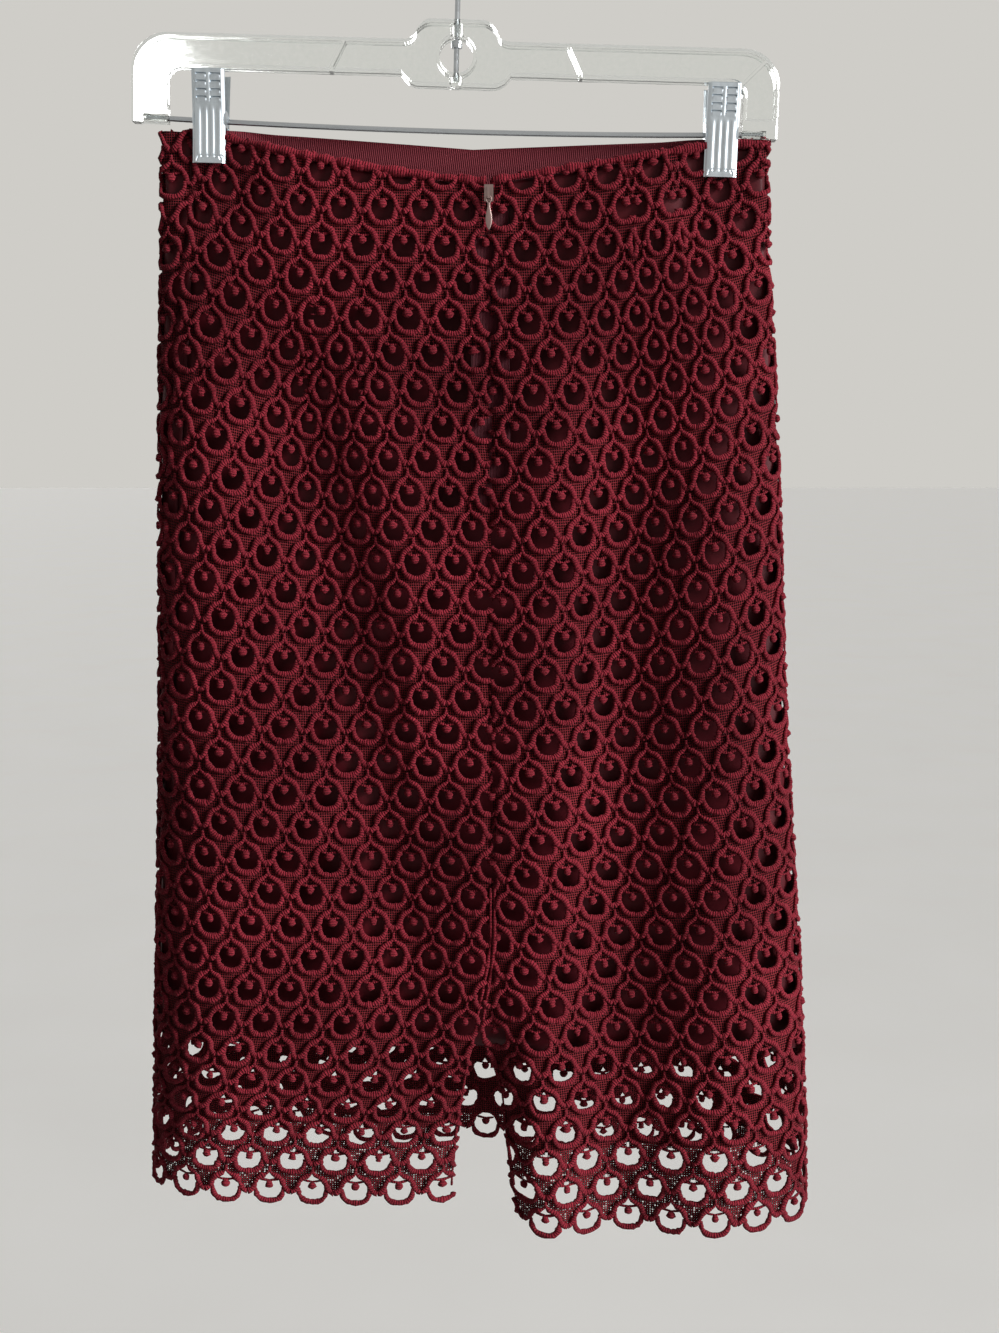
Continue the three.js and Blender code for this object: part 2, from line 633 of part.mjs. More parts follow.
function clipPieces(clip) {
  const z = rodZ(clip.x);
  const spring = bar(CLIP.springRadius, CLIP.springWidth, 'x', clip.x, 0, z, 16)
    .subtract(bar(ROD.diameter / 2 + CLIP.rodRoom, CLIP.springWidth * 2, 'x', clip.x, 0, z, 12));
  return [
    named(`clip_${clip.side}_near_jaw`, geometryOf(jaw(clip, -1)), 'clipSteel'),
    named(`clip_${clip.side}_far_jaw`, geometryOf(jaw(clip, 1)), 'clipSteel'),
    named(`clip_${clip.side}_spring`, geometryOf(spring), 'rodSteel'),
  ];
}

// ---- Zip slider and its pull tab ------------------------------------------------------------

// The slider lies on the seam. Its bridge holds the eye of the tab, which hangs on the bridge's
// lower leg and swings out about a left-to-right line through the top bar of the eye.
function zipHead() {
  const centre = surface(0, ZIP.headDown, LACE_FORM);
  const heights = [];
  for (const s of [-SLIDER.clearSide, 0, SLIDER.clearSide]) {
    for (const step of [-SLIDER.clearDown, 0, SLIDER.clearDown]) {
      heights.push(surface(s, ZIP.headDown + step, LACE_FORM).y);
    }
  }
  const backY = Math.min(...heights) - LACE.thickness / 2 - SLIDER.clearance;
  const plateY = backY - SLIDER.thickness;
  const base = block(SLIDER.width, SLIDER.thickness, SLIDER.height, 0, backY - SLIDER.thickness / 2, 0);
  const archDepth = SLIDER.bridgeRoom + SLIDER.bridgeWall;
  const archLength = SLIDER.bridgeHalfLength * 2;
  const arch = block(SLIDER.bridgeWidth, archDepth, archLength, 0, plateY - archDepth / 2, 0);
  const roomLength = (SLIDER.bridgeHalfLength - SLIDER.bridgeWall) * 2;
  const room = block(SLIDER.width, SLIDER.bridgeRoom, roomLength, 0, plateY - SLIDER.bridgeRoom / 2, 0);
  const slider = named('zip_slider', geometryOf(join(base, arch).subtract(room)), 'sliderMetal');
  slider.position.set(centre.x, 0, centre.z);

  const shape = new THREE.Shape();
  const topZ = PULL.bar / 2;
  const lobeZ = topZ - PULL.length + PULL.lobeRadius;
  shape.moveTo(-PULL.eyeHalfWidth, topZ);
  shape.lineTo(-PULL.eyeHalfWidth, topZ - PULL.bar - PULL.eyeHoleLength);
  shape.lineTo(-PULL.neckHalfWidth, PULL.neckZ);
  shape.lineTo(-PULL.lobeRadius, lobeZ);
  shape.absarc(0, lobeZ, PULL.lobeRadius, Math.PI, 2 * Math.PI, false);
  shape.lineTo(PULL.neckHalfWidth, PULL.neckZ);
  shape.lineTo(PULL.eyeHalfWidth, topZ - PULL.bar - PULL.eyeHoleLength);
  shape.lineTo(PULL.eyeHalfWidth, topZ);
  const tab = plate(shape, -PULL.thickness / 2, PULL.thickness / 2);
  const holeZ = -PULL.bar / 2 - PULL.eyeHoleLength / 2;
  const hole = block(PULL.eyeHoleHalfWidth * 2, PULL.thickness * 4, PULL.eyeHoleLength, 0, 0, holeZ);
  const pull = named('zip_pull', geometryOf(tab.subtract(hole)), 'sliderMetal');
  const legTop = -SLIDER.bridgeHalfLength + SLIDER.bridgeWall;
  const pivotZ = centre.z + legTop + PULL.bar / 2 + RUNNING_GAP;
  pull.position.set(centre.x, plateY - SLIDER.bridgeRoom / 2, pivotZ);
  return [slider, pull];
}

const group = new THREE.Group();
group.add(laceBack('back_left_panel', -1));
group.add(laceBack('back_right_panel', 1));
group.add(laceFront());
group.add(liningPanel('lining_back', true));
group.add(liningPanel('lining_front', false));
group.add(waistFacing());
group.add(zipTape());
group.add(...zipHead());

const hanger = new THREE.Group();
hanger.rotation.y = TILT;
hanger.add(hangerFrame(), hook(), rod());
CLIPS.forEach((clip) => hanger.add(...clipPieces(clip)));
group.add(hanger);

export default group;
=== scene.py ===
"""A burgundy lace pencil skirt, hung by two clips from a clear skirt hanger and seen from its back.

Sizes are millimetres in the skirt's own frame: +Z up, the skirt's back towards -Y, the origin
where a rail carries the hook. Meshes are made in millimetres and stored in metres.
"""
import math
from dataclasses import dataclass
from typing import Callable

import bpy
import numpy as np
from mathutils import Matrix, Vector
from mathutils.geometry import delaunay_2d_cdt


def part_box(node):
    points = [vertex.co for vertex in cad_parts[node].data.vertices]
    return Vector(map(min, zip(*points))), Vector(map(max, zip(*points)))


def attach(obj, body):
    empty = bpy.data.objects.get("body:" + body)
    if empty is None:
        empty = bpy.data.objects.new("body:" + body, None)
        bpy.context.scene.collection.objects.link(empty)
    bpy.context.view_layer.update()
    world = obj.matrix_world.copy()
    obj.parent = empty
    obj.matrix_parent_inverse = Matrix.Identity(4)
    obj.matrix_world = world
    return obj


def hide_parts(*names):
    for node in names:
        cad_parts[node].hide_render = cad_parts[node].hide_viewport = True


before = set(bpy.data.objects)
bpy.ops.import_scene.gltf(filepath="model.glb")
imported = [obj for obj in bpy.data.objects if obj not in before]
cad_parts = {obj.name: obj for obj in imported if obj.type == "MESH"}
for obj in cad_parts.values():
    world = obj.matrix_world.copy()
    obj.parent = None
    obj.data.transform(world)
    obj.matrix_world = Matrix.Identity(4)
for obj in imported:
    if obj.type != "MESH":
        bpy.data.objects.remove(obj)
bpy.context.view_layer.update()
MM = 0.001
GARMENT = "garment_on_hanger"

# ---- The form of the skirt, level by level ----

# down from the waist line, half width, depth of back and of front, middle, twist
SECTIONS = np.array([
    (0, 167.5, 7.5, 8.5, 1.5, 0),
    (45, 168.5, 11, 14, 2, 0),
    (110, 172, 16, 26, 2.5, 1),
    (200, 176.5, 20, 40, 3.5, 2),
    (330, 182, 24, 52, 5, 4),
    (460, 190, 29, 62, 7, 6),
    (560, 195, 33, 68, 7.5, 8),
    (622, 197, 30, 70, 7.5, 8),
])
HALF_WIDTH, BACK, FRONT, CENTRE_X, TWIST = 1, 2, 3, 4, 5
SKIRT_LENGTH = 619
LINING_LENGTH = 516
EDGE_CROWDING = 2.2

# centre at the waist and at the hem, width, height, where it starts and where it is full
BACK_FOLDS = [
    (-140, -150, 26, 4, 30, 150),
    (-128, 5, 34, -9, 30, 150),
    (-72, 38, 26, 5, 40, 200),
    (15, 18, 13, -4, 40, 160),
    (50, 44, 24, 5, 40, 200),
    (91, 93, 28, -9, 30, 150),
    (146, 150, 22, 5, 60, 260),
]
FRONT_FOLDS = [
    (-120, -128, 30, 6, 50, 220),
    (-70, -62, 26, -8, 40, 180),
    (5, -4, 34, 6, 60, 240),
    (70, 78, 26, -9, 40, 200),
    (128, 134, 30, 5, 60, 260),
]
WAIST_Z = -138
WAIST_LEAN = 0.018
SIDE_LIFT = 2.2
CENTRE_BACK = (15, 18)
BACK_PANEL_SHARE = 0.244
SEAM_GAP = 0.3
PINCH = 3.8
PINCH_WIDTH = 25
PINCH_DOWN = 46
CLIP_X = (-138.6, 142.6)
# How far the back and the front waist hang down in the middle, and over what reach either side.
BACK_DIP, BACK_DIP_LEFT, BACK_DIP_RIGHT = 22, 150, 125
FRONT_DIP, FRONT_DIP_REACH = 6, 150

LACE_LAYER = {"inset": 0, "rounding": 7, "give": 0, "slack": 0, "folds": 1}
LINING_LAYER = {"inset": 1.6, "rounding": 5.5, "give": 2.7, "slack": 8.5, "folds": 0.2}
VENT_TOP = 446
VENT_HALF_OPENING_LEFT, VENT_HALF_OPENING_RIGHT = 26, 15
# The right edge laps under the left down to here, by this share of the left edge's opening.
LAP_END, LAP_FADE, LAP_SHARE = 490, 50, 0.85
# For each edge of the vent: whether it is the left one, how far it curls, how wide a strip does.
VENT_CURLS = ((False, 16, 34), (True, 5, 16))


def smooth(t):
    t = np.clip(t, 0, 1)
    return t * t * (3 - 2 * t)


def mix(a, b, t):
    return a + (b - a) * t


def signed_power(x, power):
    """The size of x to a power, with x's own sign."""
    return np.sign(x) * np.abs(x) ** power


def unit(vectors):
    return vectors / np.maximum(np.linalg.norm(vectors, axis=-1, keepdims=True), 1e-6)


def circle(count):
    """Evenly spaced angles once round."""
    return np.linspace(0, 2 * np.pi, count, endpoint=False)


def curve_between(a, b, slope_a, slope_b, t):
    """The smooth curve from a to b with the given slopes at its ends."""
    return (a * (2 * t**3 - 3 * t**2 + 1) + slope_a * (t**3 - 2 * t**2 + t)
            + b * (3 * t**2 - 2 * t**3) + slope_b * (t**3 - t**2))


def column(key, down):
    """A smooth curve through one column of SECTIONS."""
    x, y = SECTIONS[:, 0], SECTIONS[:, key]
    down = np.clip(down, 0, x[-1])
    ahead, behind = np.r_[1:len(x), len(x) - 1], np.r_[0, 0:len(x) - 1]
    slope = (y[ahead] - y[behind]) / (x[ahead] - x[behind])
    i = np.clip(np.searchsorted(x, down, side="right") - 1, 0, len(x) - 2)
    h = x[i + 1] - x[i]
    return curve_between(y[i], y[i + 1], h * slope[i], h * slope[i + 1], (down - x[i]) / h)


def fold_height(folds, x, down):
    height = np.zeros_like(x)
    for top_x, hem_x, width, size, start, full in folds:
        centre = mix(top_x, hem_x, down / SKIRT_LENGTH)
        grown = smooth((down - start) / (full - start))
        height += size * grown * np.exp(-(((x - centre) / width) ** 2))
    return height


class Layer:
    """Where a layer of cloth lies: s runs along it from the centre back, positive to the right."""

    STEPS = 1440
    AROUND = 1024
    LEVEL_STEP = 3.0

    def __init__(self, settings):
        self.settings = settings
        self.downs = np.arange(-4, 648, self.LEVEL_STEP)
        turn = np.linspace(0, 2, self.STEPS + 1)
        share_of_turn = np.arange(self.AROUND + 1) / self.AROUND - 0.5
        self.rows = np.empty((len(self.downs), self.AROUND + 1, 2))
        self.girths = np.empty(len(self.downs))
        for i, down in enumerate(self.downs):
            x, y = self.ring(turn, np.full_like(turn, down))
            length = np.concatenate([[0], np.cumsum(np.hypot(np.diff(x), np.diff(y)))])
            girth = length[-1]
            seam_x = mix(CENTRE_BACK[0], CENTRE_BACK[1], np.clip(down, 0, SKIRT_LENGTH) / SKIRT_LENGTH)
            half = self.STEPS // 2
            zero = np.interp(seam_x, x[:half + 1], length[:half + 1])
            at = (zero + share_of_turn * girth) % girth
            self.rows[i, :, 0] = np.interp(at, length, x)
            self.rows[i, :, 1] = np.interp(at, length, y)
            self.girths[i] = girth

    def ring(self, turn, down):
        layer = self.settings
        on_back = turn <= 1
        across = -np.cos(np.pi * turn)
        half_width = column(HALF_WIDTH, down) - layer["inset"]
        share = signed_power(across, EDGE_CROWDING / layer["rounding"])
        centre = column(CENTRE_X, down)
        x = centre + half_width * share
        body = np.sqrt(np.maximum(0, 1 - np.abs(share) ** layer["rounding"]))
        near_clip = np.max([np.exp(-(((x - c) / PINCH_WIDTH) ** 4)) for c in CLIP_X], axis=0)
        held = np.exp(-((np.maximum(down, 0) / PINCH_DOWN) ** 4)) * near_clip
        give = layer["give"] + layer["slack"] * (1 - held) * smooth((down - 10) / 100)
        folds = np.where(on_back, fold_height(BACK_FOLDS, x, down), fold_height(FRONT_FOLDS, x, down))
        full = np.where(on_back, column(BACK, down), column(FRONT, down))
        free = full + layer["folds"] * folds
        depth = (mix(free, PINCH, held) - give) * body
        y = np.where(on_back, -depth, depth)
        return x, y - column(TWIST, down) * (x - centre) / half_width

    def girth(self, down):
        return np.interp(down, self.downs, self.girths)

    def seam(self, down):
        return BACK_PANEL_SHARE * self.girth(down)

    def on_ring(self, s, down):
        row = np.clip((down - self.downs[0]) / self.LEVEL_STEP, 0, len(self.downs) - 1.001)
        i = row.astype(int)
        part = (row - i)[..., None]
        q = ((s / self.girth(down) + 0.5) % 1.0) * self.AROUND
        j = np.minimum(q.astype(int), self.AROUND - 1)
        along = (q - j)[..., None]
        upper = mix(self.rows[i, j], self.rows[i, j + 1], along)
        lower = mix(self.rows[i + 1, j], self.rows[i + 1, j + 1], along)
        return mix(upper, lower, part)

    def waist_x(self, s):
        return self.on_ring(s, np.zeros_like(s))[..., 0]

    def point(self, s, down):
        xy = self.on_ring(s, down)
        x = xy[..., 0]
        lean = WAIST_LEAN * (1 - 0.4 * (down / SKIRT_LENGTH))
        side = np.abs((x - column(CENTRE_X, down)) / column(HALF_WIDTH, down))
        lift = SIDE_LIFT * side**6 * (1 - down / SKIRT_LENGTH)
        y = xy[..., 1] + self.vent_curl(s, down)
        return np.stack([x, y, WAIST_Z - lean * x + lift - down], axis=-1)

    def vent_curl(self, s, down):
        grown = smooth((down - VENT_TOP) / (SKIRT_LENGTH - VENT_TOP))
        right, left = (
            size * np.clip(1 - np.maximum(0, np.abs(s) - vent_opening(down, of_left)) / width, 0, 1) ** 2
            for of_left, size, width in VENT_CURLS)
        on_left = smooth(-s / 8) if self.settings is LACE_LAYER else 0
        return grown * mix(right, left, on_left)

    def outward(self, s, down):
        step = 1.2
        along = self.point(s + step, down) - self.point(s - step, down)
        below = self.point(s, down + step) - self.point(s, down - step)
        return unit(np.cross(below, along))


def vent_opening(down, left):
    t = np.clip((down - VENT_TOP) / (SKIRT_LENGTH - VENT_TOP), 0, 1)
    return np.where(left, VENT_HALF_OPENING_LEFT * np.sin(t * np.pi / 2) ** 1.3,
                    VENT_HALF_OPENING_RIGHT * t**2)


def cut_edge(down, left):
    """Where a back panel stops beside the centre: the right one laps under the left at the vent's top."""
    opening = vent_opening(down, left)
    if left:
        return SEAM_GAP / 2 + opening
    lapped = mix(-LAP_SHARE * vent_opening(down, True), opening, smooth((down - LAP_END) / LAP_FADE))
    return SEAM_GAP / 2 + lapped


def back_dip(x):
    offset = x - CENTRE_BACK[0]
    share = np.where(offset < 0, (np.abs(offset) / BACK_DIP_LEFT) ** 1.5, np.abs(offset) / BACK_DIP_RIGHT)
    return BACK_DIP * np.clip(1 - share, 0, 1)


def front_dip(x):
    return FRONT_DIP * np.clip(1 - np.abs(x) / FRONT_DIP_REACH, 0, 1) ** 1.2


LACE = Layer(LACE_LAYER)
LINING = Layer(LINING_LAYER)

# ---- Meshes ----


def turned_out(points, faces):
    """The faces of a closed body, all turned to point out of it."""
    middle = points.mean(axis=0)
    volume = 0.0
    for face in faces:
        corner = points[face] - middle
        for k in range(1, face.shape[1] - 1):
            volume += np.sum(corner[:, 0] * np.cross(corner[:, k], corner[:, k + 1]))
    return faces if volume > 0 else [face[:, ::-1] for face in faces]


def in_scene(name, data):
    piece = bpy.data.objects.new(name, data)
    bpy.context.scene.collection.objects.link(piece)
    return piece


def make_mesh(name, shape, material, closed=True):
    """One object from a shape: points (n, 3) in millimetres, a list of face arrays of one size each,
    and for cloth the weave UVs."""
    points, faces, *uvs = shape
    faces = [f for f in faces if len(f)]
    if closed:
        faces = turned_out(points, faces)
    loops = np.concatenate([f.ravel() for f in faces]).astype(np.int32)
    sizes = np.concatenate([np.full(len(f), f.shape[1]) for f in faces])
    used = np.unique(loops)
    renumber = np.full(len(points), -1, np.int32)
    renumber[used] = np.arange(len(used))
    loops = renumber[loops]
    points = points[used]
    mesh = bpy.data.meshes.new(name)
    mesh.vertices.add(len(points))
    mesh.vertices.foreach_set("co", (points * MM).astype(np.float32).ravel())
    mesh.loops.add(len(loops))
    mesh.loops.foreach_set("vertex_index", loops)
    mesh.polygons.add(len(sizes))
    mesh.polygons.foreach_set("loop_start", np.concatenate([[0], np.cumsum(sizes)[:-1]]).astype(np.int32))
    mesh.polygons.foreach_set("use_smooth", np.ones(len(sizes), bool))
    mesh.update(calc_edges=True)
    for uv in uvs:
        layer = mesh.uv_layers.new(name="Weave")
        layer.uv.foreach_set("vector", uv[used][loops].astype(np.float32).ravel())
    mesh.materials.append(material)
    return in_scene(name, mesh)


def tube_quads(ring, following):
    """Quads between rings of vertex numbers and the rings that follow them."""
    return np.stack([ring, np.roll(ring, -1, -1), np.roll(following, -1, -1), following],
                    axis=-1).reshape(-1, 4)


def quads(a, b, c, d):
    """Quads whose corners are the vertex numbers in four arrays of one shape."""
    return np.stack([a.ravel(), b.ravel(), c.ravel(), d.ravel()], axis=1)


def loft(rings):
    """A closed body through rings of points, with a flat cap at each end."""
    rings = np.asarray(rings, float)
    index = np.arange(rings[..., 0].size).reshape(rings.shape[:2])
    return rings.reshape(-1, 3), [tube_quads(index[:-1], index[1:]), np.stack([index[0, ::-1], index[-1]])]


def wall(outer, inner):
    """One closed wall from two grids of points of the same shape."""
    index = np.arange(outer[..., 0].size).reshape(outer.shape[:2])
    far = index + index.size
    rim = np.concatenate([index[0, ::-1], index[1:, 0], index[-1, 1:], index[-2::-1, -1]])
    rim_far = rim + index.size
    faces = [quads(index[:-1, :-1], index[1:, :-1], index[1:, 1:], index[:-1, 1:]),
             quads(far[:-1, :-1], far[:-1, 1:], far[1:, 1:], far[1:, :-1]),
             quads(rim, rim_far, np.roll(rim_far, -1), np.roll(rim, -1))[:-1]]
    return np.concatenate([outer.reshape(-1, 3), inner.reshape(-1, 3)]), [np.concatenate(faces)]


def gather(*shapes):
    """Joins shapes, each of points, faces and, where the cloth has them, weave UVs."""
    points, faces, *uvs = zip(*shapes)
    bases = np.cumsum([0, *map(len, points)])
    faces = [face + base for shape, base in zip(faces, bases) for face in shape]
    return np.concatenate(points), faces, *map(np.concatenate, uvs)


def gather_solids(*shapes):
    """Joins closed bodies, each turned to face out."""
    return gather(*((points, turned_out(points, faces)) for points, faces in shapes))


# ---- Lace: the motif ----

PITCH = 25.6
ROW = 19.4
CORD_HALF_WIDTH = 1.8
CORD_HALF_HEIGHT = 1.3
CORD_LIFT = 0.9
UNEVEN_WIDTH = 0.17
UNEVEN_HEIGHT = 0.2


def smooth_path(controls, step):
    """Evenly spaced points on a smooth curve through the control points."""
    knots = np.array(controls, float)
    before = np.concatenate([[2 * knots[0] - knots[1]], knots[:-1]])
    after = np.concatenate([knots[1:], [2 * knots[-1] - knots[-2]]])
    slopes = (after - before) / 2
    t = np.linspace(0, 1, 12, endpoint=False)[None, :, None]
    curve = curve_between(knots[:-1, None], knots[1:, None], slopes[:-1, None], slopes[1:, None], t)
    curve = np.concatenate([curve.reshape(-1, 2), knots[-1:]])
    length = np.concatenate([[0], np.cumsum(np.linalg.norm(np.diff(curve, axis=0), axis=1))])
    at = np.linspace(0, length[-1], max(2, round(length[-1] / step)) + 1)
    return np.stack([np.interp(at, length, curve[:, i]) for i in (0, 1)], axis=1)


def mirrored(half):
    """A path from its left end to its right one, given from the right end to the middle."""
    return [(-x, y) for x, y in half] + half[-2::-1]


# The motif's lines, in mm right of its middle and up from it; the scallop is its right half.
SCALLOP = [(0.0, 15.8), (0.15, 13.8), (0.6, 11.8), (2.6, 9.9), (5.4, 8.5), (7.4, 6.4), (8.4, 3.9),
           (9.3, 1.5), (10.9, -0.3), (12.8, -0.8)]
HALF_LOOP = [(8.0, 1.6), (7.9, -1.4), (7.1, -3.8), (5.2, -5.9), (2.8, -6.8), (0, -7.1)]
LOOP = mirrored(HALF_LOOP)
BAR = mirrored([(5.2, 6.6), (2.6, 6.0), (0, 5.6)])
HOLE = mirrored([(1.9, 5.9), (4.6, 6.2), (6.6, 4.8), (7.7, 2.2), *HALF_LOOP[1:]]) + [(0, 9.0)]
KNOB_HEIGHT = 3.4
# The bead's outline: up from its middle, radius.
KNOB_PROFILE = [(2.3, 0.9), (1.6, 1.7), (0.6, 2.3), (-0.7, 2.35), (-1.7, 1.7), (-2.3, 0.6)]


# ---- Lace: the panels ----

ROWS = 32
FOLD_RADIUS = 0.9
TURNED, FRONT_TURNED = 2.6, 0.2
LOWEST = 640
# Seams: how deep the cloth sinks and how far to each side.
SIDE_GROOVE, SIDE_GROOVE_WIDTH = 1.0, 2.4
CENTRE_GROOVE, CENTRE_GROOVE_WIDTH = 2.0, 2.6
WAIST_ROLL, VENT_ROLL = 2.6, 1.1


@dataclass
class Panel:
    """A lace panel in its own cloth: u runs from its first edge, v down from the waist level."""

    DART_INTAKE = PITCH
    SQUEEZE = 0.8
    SQUEEZE_DEPTH = 170
    SQUEEZE_REACH = 45
    OUTSIDE = -0.1

    name: str
    side: int
    phase: float
    first_row: float
    stretch: float
    dart_places: tuple
    dart_ends: tuple
    edge: Callable
    width: Callable
    rise: Callable
    hem: Callable

    def __post_init__(self):
        self.widest = max(self.width(v) + self.edge(v) for v in np.arange(0, 630, 10.0))

    def across(self, u, v, down):
        """s for a place in the cloth, and whether a dart has taken that place in."""
        taken = np.zeros(u.shape, bool)
        flat = u - self.edge(v)
        total = self.width(v)
        # A dart takes cloth away near the waist; below it the same cloth is squeezed together.
        first, last = self.dart_ends
        left = (last - v) / (last - first)  # the share of the dart still to come
        removed = self.DART_INTAKE * np.clip(left, 0, 1)
        squeezed = self.SQUEEZE * (self.DART_INTAKE - removed) * np.exp(-((v / self.SQUEEZE_DEPTH) ** 2))
        for centre in self.dart_places:
            taken |= np.abs(u - centre) < removed / 2
            flat = flat - np.clip(u - centre + removed / 2, 0, removed)
            flat = flat - squeezed * smooth((u - centre) / (2 * self.SQUEEZE_REACH) + 0.5)
            total = total - removed - squeezed
        share = flat / total
        seam = LACE.seam(down)
        if self.side:
            s = self.side * (SEAM_GAP / 2 + np.clip(share, self.OUTSIDE, 1) * (seam - SEAM_GAP))
            return s, taken | (share <= self.OUTSIDE) | (share > 1)
        s = seam + SEAM_GAP / 2 + np.clip(share, 0, 1) * (LACE.girth(down) - 2 * seam - SEAM_GAP)
        return s, taken | (share < 0) | (share > 1)

    def settle(self, u, v):
        """s, down, how far over the waist edge, and whether the place is outside the cut."""
        down = v * self.stretch + self.hem(v)
        s, _ = self.across(u, v, down)
        down = down - self.rise(s, v)
        s, outside = self.across(u, v, down)
        x = LACE.on_ring(s, np.clip(down, 0, LOWEST))[..., 0]
        waist = back_dip(x) if self.side else front_dip(x)
        over = waist - down
        outside = outside | (over > (TURNED if self.side else FRONT_TURNED))
        over = np.clip(over, 0, TURNED)
        down = np.maximum(down, waist)
        if self.side:
            edge = cut_edge(down, self.side < 0)
            outside = outside | (self.side * s < edge - 1e-6)
            s = self.side * np.maximum(self.side * s, edge)
        return s, down, over, outside

    def place(self, u, v):
        """Point, outward direction and whether outside the cut, for places in the cloth."""
        s, down, over, outside = self.settle(u, v)
        point = LACE.point(s, down)
        normal = LACE.outward(s, down)
        point = point - normal * self.groove(s, down)[..., None]
        angle = (over / FOLD_RADIUS)[..., None]
        up = np.array([0, 0, 1.0])
        point = point + FOLD_RADIUS * (up * np.sin(angle) - normal * (1 - np.cos(angle)))
        turned = normal * np.cos(angle) + up * np.sin(angle)
        return point, turned, outside

    def groove(self, s, down):
        """How far the cloth sinks into its seams."""
        seam = LACE.seam(down)
        from_side = np.abs(np.abs(np.where(s > LACE.girth(down) / 2, s - LACE.girth(down), s)) - seam)
        depth = SIDE_GROOVE * np.exp(-((from_side / SIDE_GROOVE_WIDTH) ** 2))
        if self.side:
            closed = 1 - smooth((down - VENT_TOP) / 40)
            depth = depth + CENTRE_GROOVE * closed * np.exp(-((s / CENTRE_GROOVE_WIDTH) ** 2))
        return depth


def motif_grid(panel):
    """Centres (u, v) of the motifs that can reach the panel, and each one's row number."""
    return np.array([(c * PITCH + panel.phase + (PITCH / 2 if k % 2 else 0), panel.first_row + ROW * k, k)
                     for k in range(-1, ROWS) for c in range(-4, int(panel.widest / PITCH) + 3)])


def cord_tubes(panel, centres, path, radii, lift, sides, seed):
    """Tubes along one path drawn round every centre. Returns points, faces and weave UVs."""
    u = centres[:, None, 0] + path[None, :, 0]
    v = centres[:, None, 1] - path[None, :, 1]
    point, normal, outside = panel.place(u, v)
    count, steps = u.shape
    # A place outside the cut that follows or leads one inside is kept, pulled in to the edge.
    inside = ~outside
    touching = inside.copy()
    touching[:, 1:] |= inside[:, :-1]
    touching[:, :-1] |= inside[:, 1:]
    across = unit(np.cross(unit(np.gradient(point, axis=1)), normal))
    noise = np.random.default_rng(seed).normal(0, 1, (count, steps))
    width = CORD_HALF_WIDTH * radii[None, :] * (1 + UNEVEN_WIDTH * noise)
    height = CORD_HALF_HEIGHT * radii[None, :] * (1 + UNEVEN_HEIGHT * noise[:, ::-1])
    angle = circle(sides) + np.pi / sides
    # A little squarer than round, as satin stitch over a padding cord is.
    wide, high = (signed_power(w, 0.8) for w in (np.cos(angle), np.sin(angle)))
    ring = (point[:, :, None, :]
            + across[:, :, None, :] * (width[..., None, None] * wide[:, None])
            + normal[:, :, None, :] * (lift + height[..., None, None] * high[:, None]))
    index = np.arange(count * steps * sides).reshape(count, steps, sides)
    kept = touching[:, 1:] & touching[:, :-1]
    sleeves = tube_quads(index[:, :-1][kept], index[:, 1:][kept])
    starts = touching.copy()
    starts[:, 1:] &= ~kept
    ends = touching.copy()
    ends[:, :-1] &= ~kept
    lone = starts & ends
    caps = np.concatenate([index[starts & ~lone][:, ::-1], index[ends & ~lone]])
    along = np.concatenate([[0], np.cumsum(np.linalg.norm(np.diff(path, axis=0), axis=1))])
    uv = np.empty((count, steps, sides, 2))
    uv[..., 0] = along[None, :, None] + (centres[:, 0] * 7.3 + centres[:, 1] * 3.1)[:, None, None] % 97
    uv[..., 1] = np.arange(sides)[None, None, :] / sides
    return ring.reshape(-1, 3), [sleeves, caps], uv.reshape(-1, 2)


def roll(s, down, lift, radius, seed):
    """A lumpy roll of turned-in lace along a line on the form."""
    steps, sides = len(s), 6
    normal = LACE.outward(s, down)
    point = LACE.point(s, down) + normal * lift
    rng = np.random.default_rng(seed)
    knots = np.arange(0, steps + 4, 4)
    lumps = np.interp(np.arange(steps), knots, rng.uniform(0.5, 1.25, len(knots)))
    size = radius * lumps * (1 + 0.08 * rng.normal(0, 1, steps))
    across = unit(np.cross(np.gradient(point, axis=0), normal))
    angle = circle(sides)[:, None]
    ring = point[:, None] + size[:, None, None] * (across[:, None] * np.cos(angle)
                                                   + normal[:, None] * np.sin(angle))
    uv = np.stack(np.broadcast_arrays(np.arange(steps)[:, None] * 1.3, np.arange(sides) / sides), axis=-1)
    return *loft(ring), uv.reshape(-1, 2)


def edge_rolls(panel):
    """The turned edges: along the waist, and on the back down both sides of the vent."""
    if not panel.side:
        return []
    waist = panel.side * np.arange(SEAM_GAP / 2 + 1.2, LACE.seam(0.0) - 1.0, 1.3)
    down = np.arange(VENT_TOP - 30, SKIRT_LENGTH - 18, 1.5)
    vent = panel.side * (cut_edge(down, panel.side < 0) + 1.0)
    return [roll(waist, back_dip(LACE.waist_x(waist)), 0.2, WAIST_ROLL, 11 + panel.side),
            roll(vent, down, 0.3, VENT_ROLL, 21 + panel.side)]


def knobs(panel, centres):
    """The little bead that hangs in each hole: a lathe of rings round a line down the cloth."""
    path = np.array([(0, KNOB_HEIGHT + up) for up, _ in KNOB_PROFILE])
    radii = np.array([radius for _, radius in KNOB_PROFILE]) / CORD_HALF_WIDTH
    return cord_tubes(panel, centres, path, radii, lift=0.7, sides=7, seed=5)


# ---- Lace: the net ground ----

MESH = 1.45
LEAST_OPEN, MOST_OPEN = 0.1, 0.6
NET_KEEPS_OFF = 1.1


def wave_height(x):
    """How high the scalloped cord is at a distance x beside a motif's centre line."""
    path = np.array(SCALLOP)
    return np.interp(np.abs(x), path[:, 0], path[:, 1])


